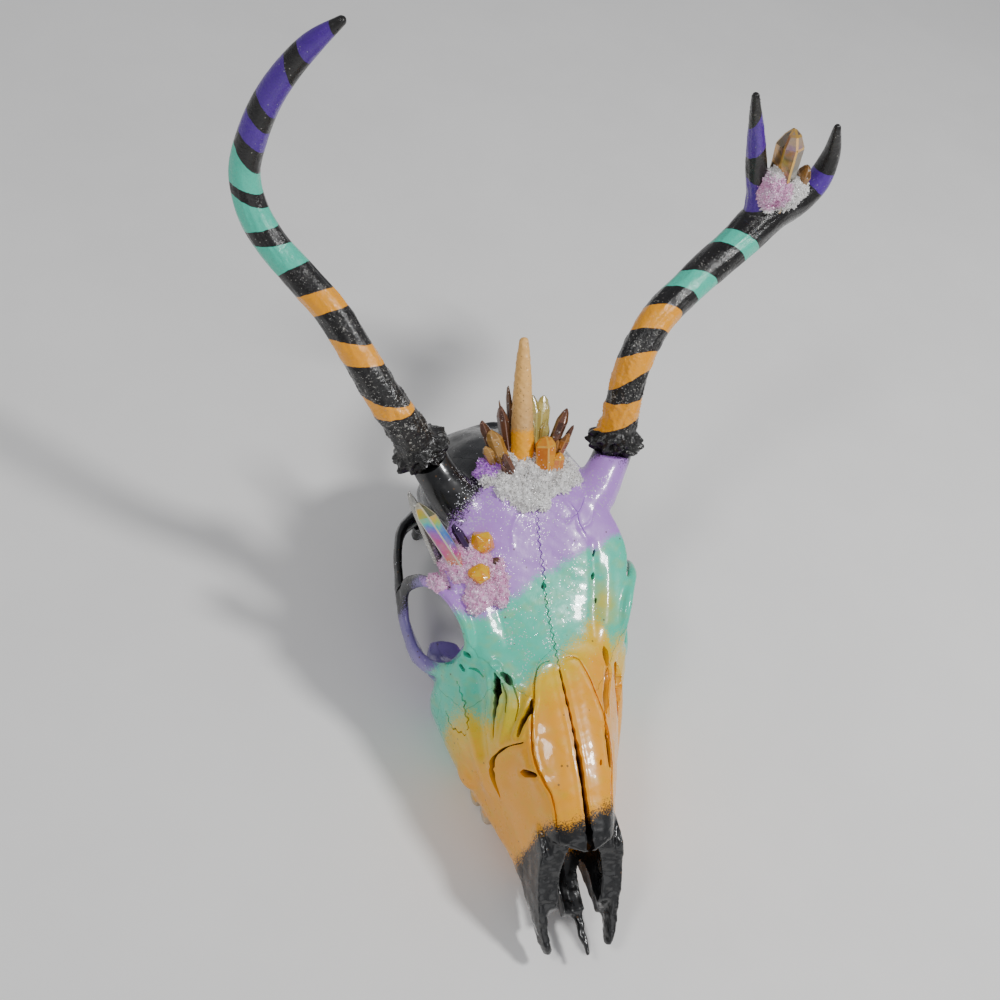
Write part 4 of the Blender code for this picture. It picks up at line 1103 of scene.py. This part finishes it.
def bareBone():
    form = crownTine
    made, shader = newMaterial("pored_bone", 0.5, 0.25, 0.2)
    tone = mix(grain(420, 4, 0.6, (1, 0.35, 0.35)), form["bone"], form["boneLight"])
    tone = mix(ease(field("along"), 18, 46), tone, form["tip"])
    pores, _, _ = flecks(900, 0.30, 0.26)
    tone = mix(pores * 0.75, tone, form["pores"])
    edge = form["paintedUpTo"]
    painted = ease(field("along") + (grain(1500, 2, 0.7) - 0.5) * 9, edge + 0.8, edge - 0.8)
    tone = mix(painted, tone, mix(grain(260), form["paint"], form["paintLight"]))
    plug(shader, Base_Color=tone, Roughness=ease(painted, 0, 1, 0.55, 0.36),
         Normal=bump(grain(700, 4, 0.7) - pores * 1.6, 0.55, 0.0004))
    return made


spur = antlerTube("bare_tine", crownTine["path"], 48)
points = pointsOf(spur)
s, _, out, _, _ = alongAntler(points, crownTine["path"])
placePoints(spur, points + out * (0.12 * waves(points, 2.6, 0.2, 2))[:, None])
setField(spur, "along", s)
dress(spur, bareBone(), "crown_tine", 60)


# clusters: a bed of tiny crystals that grows over the bone, with large crystals standing in it

crystalForms = {  # foot, direction, length, half width, flatness
    "crown": [("brown_left", (-11, 209, 102), (-0.38, 0.61, 0.69), 23.5, 3, 0.8),
              ("tan_left", (-9, 206, 103), (-0.37, 0.61, 0.7), 20.7, 4.6, 0.75),
              ("brown_back", (-6, 212, 101), (-0.15, 0.65, 0.74), 26.4, 3.2, 0.8),
              ("thin_back", (-4, 215, 101), (-0.06, 0.66, 0.75), 33, 1.8, 0.8),
              ("clear_back", (5, 213, 101), (0, 0.66, 0.75), 30, 4.6, 0.6),
              ("clear_right", (9, 214, 101), (0.06, 0.66, 0.75), 29, 4, 0.7),
              ("brown_right", (10, 209, 102), (0.37, 0.61, 0.7), 28, 3.2, 0.85),
              ("bronze_right", (12, 206, 103), (0.46, 0.59, 0.67), 18.4, 3.2, 0.8),
              ("amber_right", (8, 202, 104), (0, 0.66, 0.75), 18, 5.6, 0.75),
              ("brown_front", (-6, 200, 104), (-0.5, 0.4, 0.77), 15, 2.4, 0.8)],
    "brow": [("rainbow", (-36, 167, 88), (-0.55, 0.55, 0.63), 35, 4.9, 0.9),
             ("silver", (-43, 174, 82), (-0.38, 0.6, 0.68), 35, 2.6, 0.8),
             ("purple", (-30.5, 169, 91), (-0.5, 0.57, 0.65), 18, 2.3, 0.85),
             ("yellow_back", (-26, 171, 92), (-0.05, 0.5, 0.86), 11, 6, 0.85),
             ("yellow_front", (-29.5, 160, 88), (-0.05, 0.1, 0.99), 8, 5.2, 0.9),
             ("brown_small", (-23, 163, 90), (0.4, 0.5, 0.77), 6, 2, 0.8)],
    "fork": [("bronze", (120, 287, 190), (-0.19, 0, 0.98), 43.5, 7.4, 0.75),
             ("dark", (127, 287, 192), (0.05, 0, 1), 21, 3.6, 0.7)],
}
crystalLooks = {  # dark colour, light colour, how clear, metal
    "brown": ((0.045, 0.016, 0.01), (0.20, 0.085, 0.05), 0.25, 0.15),
    "tan": ((0.36, 0.15, 0.02), (0.62, 0.34, 0.09), 0.35, 0.0),
    "thin": ((0.06, 0.022, 0.012), (0.24, 0.12, 0.06), 0.3, 0.1),
    "clear": ((0.42, 0.30, 0.03), (0.85, 0.68, 0.20), 0.5, 0.0),
    "bronze": ((0.14, 0.05, 0.012), (0.50, 0.22, 0.05), 0.2, 0.3),
    "amber": ((0.80, 0.18, 0.0), (1.0, 0.42, 0.02), 0.3, 0.0),
    "silver": ((0.14, 0.13, 0.11), (0.48, 0.47, 0.43), 0.3, 0.5),
    "purple": ((0.010, 0.003, 0.022), (0.05, 0.015, 0.09), 0.1, 0.25),
    "yellow": ((1.0, 0.30, 0.0), (1.0, 0.58, 0.0), 0.2, 0.0),
    "dark": ((0.07, 0.03, 0.01), (0.36, 0.18, 0.05), 0.2, 0.3),
}
films = {
    "rainbow": {
        "bands": [(0.0, (0.55, 0.18, 0.03)), (0.2, (0.75, 0.12, 0.08)), (0.34, (0.62, 0.03, 0.30)),
                  (0.48, (0.26, 0.06, 0.62)), (0.6, (0.03, 0.18, 0.75)), (0.7, (0.02, 0.60, 0.50)),
                  (0.8, (0.50, 0.70, 0.02)), (0.9, (0.92, 0.55, 0.02)), (1.0, (0.50, 0.46, 0.34))],
        "metal": 0.35, "under": (0.13, 0.11, 0.09), "edge": (0.72, 0.68, 0.50)},
    "gold": {
        "bands": [(0.0, (0.06, 0.03, 0.01)), (0.3, (0.07, 0.05, 0.015)), (0.42, (0.10, 0.09, 0.03)),
                  (0.52, (0.50, 0.24, 0.03)), (0.62, (0.80, 0.38, 0.04)), (0.72, (0.30, 0.16, 0.05)),
                  (0.82, (0.70, 0.30, 0.10)), (0.9, (0.50, 0.24, 0.42)), (1.0, (0.75, 0.50, 0.30))],
        "metal": 0.6, "under": (0.09, 0.07, 0.03), "edge": (0.95, 0.55, 0.10)},
}
crystalForm = {
    # part of the length, part of the width
    "levels": ((0, 0.94), (0.3, 0.99), (0.55, 0.97), (0.79, 1), (0.925, 0.6), (1, 0.1)),
    "uneven": 0.13, "slant": 0.05, "bevel": 0.09, "sharp": 24, "chunkPoints": 46, "chunkBevel": 0.22,
    "lean": (0.13, -0.05, 0.03), "leanLength": 0.66, "leanWidth": 0.55, "leanFlatness": 0.85,
    "frost": (0.85, 0.82, 0.80), "filmFrost": (0.88, 0.80, 0.78), "filmPale": (0.50, 0.48, 0.46),
}


def crystalMesh(name, foot, towards, length, half, flatness, seed):
    form = crystalForm
    towards = Vector(towards).normalized()
    turn = towards.to_track_quat("Z", "Y").to_matrix() @ Matrix.Rotation(seed * 0.7, 3, "Z")
    rings = []
    for part, wide in form["levels"]:
        ring = []
        for side in range(6):
            angle = side * math.pi / 3
            reach = half * wide * (1 + form["uneven"] * math.sin(seed * 3 + side * 2.1))
            slant = form["slant"] * length * math.cos(angle + seed) if 0.6 < part < 1 else 0
            place = (math.cos(angle) * reach, math.sin(angle) * reach * flatness, part * length + slant)
            ring.append(tuple(Vector(foot) + turn @ Vector(place)))
        rings.append(np.array(ring))
    made = skinRings(name, rings)
    shape = bmesh.new()
    shape.from_mesh(made.data)
    sharp = [edge for edge in shape.edges if edge.calc_face_angle(0) > math.radians(form["sharp"])]
    worn = bmesh.ops.bevel(shape, geom=sharp, offset=half * form["bevel"] * mm, segments=1, affect="EDGES")
    shape.faces.index_update()
    edges = np.zeros(len(shape.faces))
    edges[[face.index for face in worn["faces"]]] = 1
    shape.to_mesh(made.data)
    shape.free()
    rng = np.random.default_rng(seed + 3)
    normals = np.array([tuple(face.normal) for face in made.data.polygons])
    facing = np.round(normals @ np.array((3.1, 5.3, 7.7)) * 2).astype(int)  # one tone for faces that face alike
    tones = {value: rng.uniform() for value in np.unique(facing)}
    setField(made, "along", (pointsOf(made) - np.array(foot)) @ np.array(towards) / length)
    setField(made, "facet", [tones[value] for value in facing], "FACE")
    setField(made, "edge", edges, "FACE")
    return made


def lumpMesh(name, foot, towards, length, half, flatness, seed):
    # a chunk broken into flat faces
    towards = Vector(towards).normalized()
    turn = towards.to_track_quat("Z", "Y").to_matrix()
    rng = np.random.default_rng(seed + 11)
    shape = bmesh.new()
    for i in range(crystalForm["chunkPoints"]):
        way = rng.normal(size=3)
        x, y, z = way / np.linalg.norm(way)
        local = Vector((x * half * 1.05, y * half * flatness * 1.15, z * length * 0.5 + length * 0.45))
        shape.verts.new((Vector(foot) + turn @ (local * rng.uniform(0.86, 1.04))) * mm)
    found = bmesh.ops.convex_hull(shape, input=shape.verts)
    loose = {item for item in found["geom_interior"] + found["geom_unused"]
             if isinstance(item, bmesh.types.BMVert)}
    bmesh.ops.delete(shape, geom=list(loose), context="VERTS")
    bmesh.ops.bevel(shape, geom=list(shape.edges), offset=crystalForm["chunkBevel"] * mm, segments=1,
                    affect="EDGES")
    bmesh.ops.recalc_face_normals(shape, faces=shape.faces)
    made = linked(name, bpy.data.meshes.new(name))
    shape.to_mesh(made.data)
    shape.free()
    faces = len(made.data.polygons)
    setField(made, "along", (pointsOf(made) - np.array(foot)) @ np.array(towards) / length)
    setField(made, "facet", rng.uniform(size=faces), "FACE")
    setField(made, "edge", np.zeros(faces), "FACE")
    return made


def leaningOn(foot, towards, length, half, seed):
    form = crystalForm
    way = (-1) ** seed
    across, back, up = form["lean"]
    lean = Vector(towards) + Vector((across * way, back, up * (seed % 3)))
    aside = Vector(foot) + Vector((half * 0.8 * way, -half * 0.3, 0))
    return crystalMesh("leaning", aside, lean, length * (form["leanLength"] + 0.06 * (seed % 4)),
                       half * form["leanWidth"], form["leanFlatness"], seed + 20)


def crystalMaterial(kind):
    dark, light, clear, metal = crystalLooks[kind]
    made, shader = newMaterial(kind + "_crystal", 0.16, 0.6, 0.04, Metallic=metal, Transmission_Weight=clear,
                               IOR=1.54)
    tone = mix(ease(grain(320, 4, 0.65, (1, 0.5, 0.5)) * 0.7 + field("facet") * 0.45, 0.3, 0.85), dark, light)
    tone = mix(ease(field("along"), 0.55, 1.0, 0, 0.5), tone, light)
    tone = mix(field("edge") * 0.45, tone, tuple(min(1, c * 1.5 + 0.06) for c in light))
    frost, _, _ = flecks(1300, ease(field("along"), 0.55, 0.05, 0.04, 0.5), 0.45)
    plug(shader, Base_Color=mix(frost * 0.6, tone, crystalForm["frost"]),
         Roughness=ease(grain(500, 3), 0.3, 0.8, 0.08, 0.3) + frost * 0.3,
         Normal=bump(grain(900, 3, 0.6, (0.3, 1, 1)), 0.35, 0.0003))
    return made


def filmMaterial(kind):
    # a thin coloured film on the crystal: the colour turns along it, and some of its faces stay bare
    look = films[kind]
    made, shader = newMaterial(kind + "_film", 0.14, 0.6, 0.04, Metallic=look["metal"])
    place = field("along") + (field("facet") - 0.5) * 0.3 + (grain(110, 2, 0.5, (1, 0.4, 1)) - 0.5) * 0.8
    ramp = node("ValToRGB")
    feed(ramp.inputs[0], place)
    points = ramp.color_ramp.elements
    while len(points) < len(look["bands"]):
        points.new(0.5)
    for point, (place, colour) in zip(points, look["bands"]):
        point.position = place
        point.color = (*colour, 1)
    tone = mix(ease(grain(300, 3), 0.3, 0.7, 0.1, 0.4), Wire(ramp.outputs[0]), crystalForm["filmPale"])
    tone = mix(ease(field("facet"), 0.42, 0.40) * 0.85, tone, look["under"])
    tone = mix(field("edge") * 0.7, tone, look["edge"])
    frost, _, _ = flecks(1200, ease(field("along"), 0.32, 0.05, 0.0, 0.5), 0.45)
    plug(shader, Base_Color=mix(frost * 0.7, tone, crystalForm["filmFrost"]),
         Roughness=ease(grain(600, 2), 0.3, 0.8, 0.08, 0.24),
         Normal=bump(grain(800, 3, 0.6, (0.3, 1, 1)), 0.25, 0.0003))
    return made


looksMade = {}
for kind, crystals in crystalForms.items():
    for seed, (name, *sizes) in enumerate(crystals):
        make = lumpMesh if name.startswith("yellow") else crystalMesh
        made = make(f"{kind}_{name}", *sizes, seed)
        if kind == "crown":  # a shorter crystal leans on each one
            joined([made, leaningOn(*sizes[:4], seed)])
        look = "gold" if (kind, name) == ("fork", "bronze") else name.split("_")[0]
        if look not in looksMade:
            looksMade[look] = (filmMaterial if look in films else crystalMaterial)(look)
        dress(made, looksMade[look], f"{kind}_crystal_{name}", 12)
print("crystals")


bedForms = {  # discs of lumps (x, y, z, radius), mounds, number of points, their size, patches of colour
    "crown": {"discs": [(-2, 199, 105, 14), (-17, 205, 103, 6), (12, 203, 104, 11), (0, 211, 103, 11)],
              "mounds": [], "points": 5200, "size": (0.5, 1.9),
              "patches": [((-19, 208, 104), 8.5, "purple")]},
    "brow": {"discs": [(-34, 168, 90, 9), (-26, 160, 90, 9), (-43, 166, 82, 6), (-31, 152, 86, 6),
                       (-22, 152, 88, 4)],
             "mounds": [], "points": 4600, "size": (0.4, 1.4), "patches": [((-33, 158, 89), 60, "pink")]},
    "fork": {"discs": [(116, 285, 194, 6), (124, 288, 194, 5)],
             "mounds": [(111.5, 284, 203, 6, 6.5, 10), (119, 284, 201, 8, 7.5, 8.5),
                        (126, 287, 200, 6.5, 6, 6)],
             "points": 3000, "size": (0.45, 1.6), "patches": [((112, 283, 202), 9.5, "pink")]},
}
bedForm = {"lumpRadius": 3.4, "lumpSpacing": 3.4, "voxel": 0.6, "turn": 2.4, "sides": 5, "splay": 0.38}


def nearestOn(trees, point):
    found = [tree.find_nearest(Vector(point) * mm)[0] / mm for tree in trees]
    return min(found, key=lambda place: (place - Vector(point)).length)


def bedLumps(name, form, trees):
    lumps = []
    for x, y, z, reach in form["discs"]:
        count = max(3, round((reach / bedForm["lumpSpacing"]) ** 2 * 3))
        for i in range(count):
            out, turn = reach * math.sqrt((i + 0.5) / count), i * bedForm["turn"]
            foot = nearestOn(trees, (x + out * math.cos(turn), y + out * math.sin(turn), z))
            size = bedForm["lumpRadius"] * (1 + 0.35 * noise.noise(foot * 0.37))
            lumps.append(blob(name, foot, (size, size, size * 0.8), 2))
    return lumps + [blob(name, mound[:3], mound[3:]) for mound in form["mounds"]]


def bedPoints(made, form, rng):
    # tiny crystals scattered evenly over the lumps
    made.data.calc_loop_triangles()
    faces = np.empty(len(made.data.loop_triangles) * 3, int)
    made.data.loop_triangles.foreach_get("vertices", faces)
    corners = pointsOf(made)[faces.reshape(-1, 3)]
    cross = np.cross(corners[:, 1] - corners[:, 0], corners[:, 2] - corners[:, 0])
    area = np.linalg.norm(cross, axis=1)
    picked = rng.choice(len(area), form["points"], p=area / area.sum())
    mixing = rng.dirichlet((1, 1, 1), len(picked))
    feet = (corners[picked] * mixing[:, :, None]).sum(1)
    ways = unit(cross[picked] / area[picked][:, None] + rng.normal(0, bedForm["splay"], (len(picked), 3)))
    low, high = form["size"]
    sizes = low + (high - low) * rng.uniform(size=len(picked)) ** 2
    verts, polygons, sides = [], [], bedForm["sides"]
    for foot, way, size in zip(feet, ways, sizes):
        flat = np.cross(way, rng.normal(size=3))
        flat /= np.linalg.norm(flat)
        wide = np.cross(way, flat)
        radius = size * rng.uniform(0.28, 0.42)
        start = len(verts)
        for level in (-0.5, 0.45):
            for side in range(sides):
                a = side * 2 * math.pi / sides
                verts.append(foot + way * size * level + (flat * math.cos(a) + wide * math.sin(a)) * radius)
        verts.append(foot + way * size * rng.uniform(0.85, 1.15))
        for side in range(sides):
            here, after = start + side, start + (side + 1) % sides
            polygons.append([here, after, after + sides, here + sides])
            polygons.append([here + sides, after + sides, start + 2 * sides])
        polygons.append([start + side for side in reversed(range(sides))])
    return newMesh("tips", verts, polygons)


def druse(name, form, trees, seed):
    made = fused(name, bedLumps(name, form, trees), bedForm["voxel"], 3)
    points, normals = pointsOf(made), normalsOf(made)
    placePoints(made, points + normals * (0.45 * waves(points, 2.6, seed, 2) - 0.25)[:, None])
    joined([made, bedPoints(made, form, np.random.default_rng(seed))])
    points = pointsOf(made)
    for colour in ("purple", "pink"):
        amount = np.full(len(points), -50.0)
        for centre, reach, kind in form["patches"]:
            if kind == colour:
                amount = np.maximum(amount, reach - np.linalg.norm(points - centre, axis=1))
        setField(made, colour, amount)
    return made


druseLook = {
    "white": (0.93, 0.92, 0.90),
    "cream": (0.60, 0.58, 0.56),
    "pink": (0.80, 0.38, 0.64),
    "pinkLight": (0.84, 0.60, 0.78),
    "purple": (0.46, 0.11, 0.72),
    "purpleLight": (0.66, 0.28, 0.82),
    "sparkle": (0.96, 0.95, 0.97),
}


def druseMaterial():
    look = druseLook
    made, shader = newMaterial("druse", 0.3, 0.4, 0.08)
    tone = mix(ease(grain(300, 3, 0.6), 0.35, 0.7), look["white"], look["cream"])
    loose = (grain(700, 3, 0.7) - 0.5) * 7
    pink = mix(ease(grain(420, 3), 0.35, 0.7), look["pink"], look["pinkLight"])
    tone = mix(ease(field("pink") + loose, -0.8, 0.8), tone, pink)
    purple = mix(grain(420, 3), look["purple"], look["purpleLight"])
    tone = mix(ease(field("purple") + loose, -0.8, 0.8), tone, purple)
    sparkle, _, second = flecks(1500, 0.3, 0.5)
    plug(shader, Base_Color=mix(sparkle * 0.6, tone, look["sparkle"]), Metallic=sparkle * 0.35,
         Roughness=ease(second, 0, 1, 0.14, 0.42), Normal=bump(grain(1400, 2), 0.3, 0.0003))
    return made


druseSkin = druseMaterial()
for seed, (kind, form) in enumerate(bedForms.items()):
    made = druse(f"{kind}_druse", form, forkTrees if kind == "fork" else [surface], seed + 5)
    dress(made, druseSkin, f"{kind}_bed", 20)
print("druse", [len(piece.data.polygons) for piece in pieces[-3:]])


# floor, light and camera

studio = {
    "floor": (0.95, 0.94, 0.92),
    "floorReach": 3000,
    "world": (0.92, 0.94, 1.0),
    "worldStrength": 0.32,
    "aim": (0, 0, 0.08),
    "lamps": {
        "key": {"way": (0.52, -0.20, 0.83), "distance": 1.15, "size": 0.17, "energy": 8.5},
        "strip": {"way": (-0.55, -0.15, 0.82), "distance": 1.2, "size": 0.25, "energy": 3},
        "fill": {"way": (0.1, -0.95, 0.42), "distance": 1.6, "size": 1.2, "energy": 3},
    },
}
shot = {
    "place": (-195.697, -126.347, 540.911),
    "forward": (0.315832, 0.556141, -0.768737),
    "up": (0.050177, 0.799284, 0.598855),
    "lens": 46.8,
}


def floorMaterial():
    made, shader = newMaterial("pale_floor", 0.75)
    tone = mix(ease(grain(9, 4, 0.6), 0.3, 0.7), studio["floor"], tuple(c * 0.96 for c in studio["floor"]))
    plug(shader, Base_Color=tone, Roughness=ease(grain(60, 3), 0.3, 0.7, 0.68, 0.8),
         Normal=bump(grain(900, 3), 0.05, 0.0002))
    return made


far = studio["floorReach"]
floorMesh = newMesh("floor", [(-far, -far, 0), (far, -far, 0), (far, far, 0), (-far, far, 0)], [(0, 1, 2, 3)])
floorMesh.data.materials.append(floorMaterial())

world = bpy.data.worlds.new("studio")
bpy.context.scene.world = world
world.use_nodes = True
plug(world.node_tree.nodes["Background"], Color=studio["world"], Strength=studio["worldStrength"])
for name, form in studio["lamps"].items():
    lamp = bpy.data.lights.new(name, "AREA")
    lamp.shape = "DISK"
    lamp.size = form["size"]
    lamp.energy = form["energy"]
    way = Vector(form["way"]).normalized()
    spot = Vector(studio["aim"]) + way * form["distance"]
    turn = way.to_track_quat("Z", "Y").to_matrix().to_4x4()
    linked(name, lamp).matrix_world = Matrix.Translation(spot) @ turn

eye = linked("camera", bpy.data.cameras.new("camera"))
forward = Vector(shot["forward"]).normalized()
side = forward.cross(Vector(shot["up"])).normalized()
turn = Matrix((side, side.cross(forward), -forward)).transposed().to_4x4()
eye.matrix_world = Matrix.Translation((Vector(shot["place"]) - Vector(middle)) * mm) @ turn
eye.data.lens = shot["lens"]
eye.data.sensor_width = 36
eye.data.clip_start = 0.01
bpy.context.scene.camera = eye
print("studio")
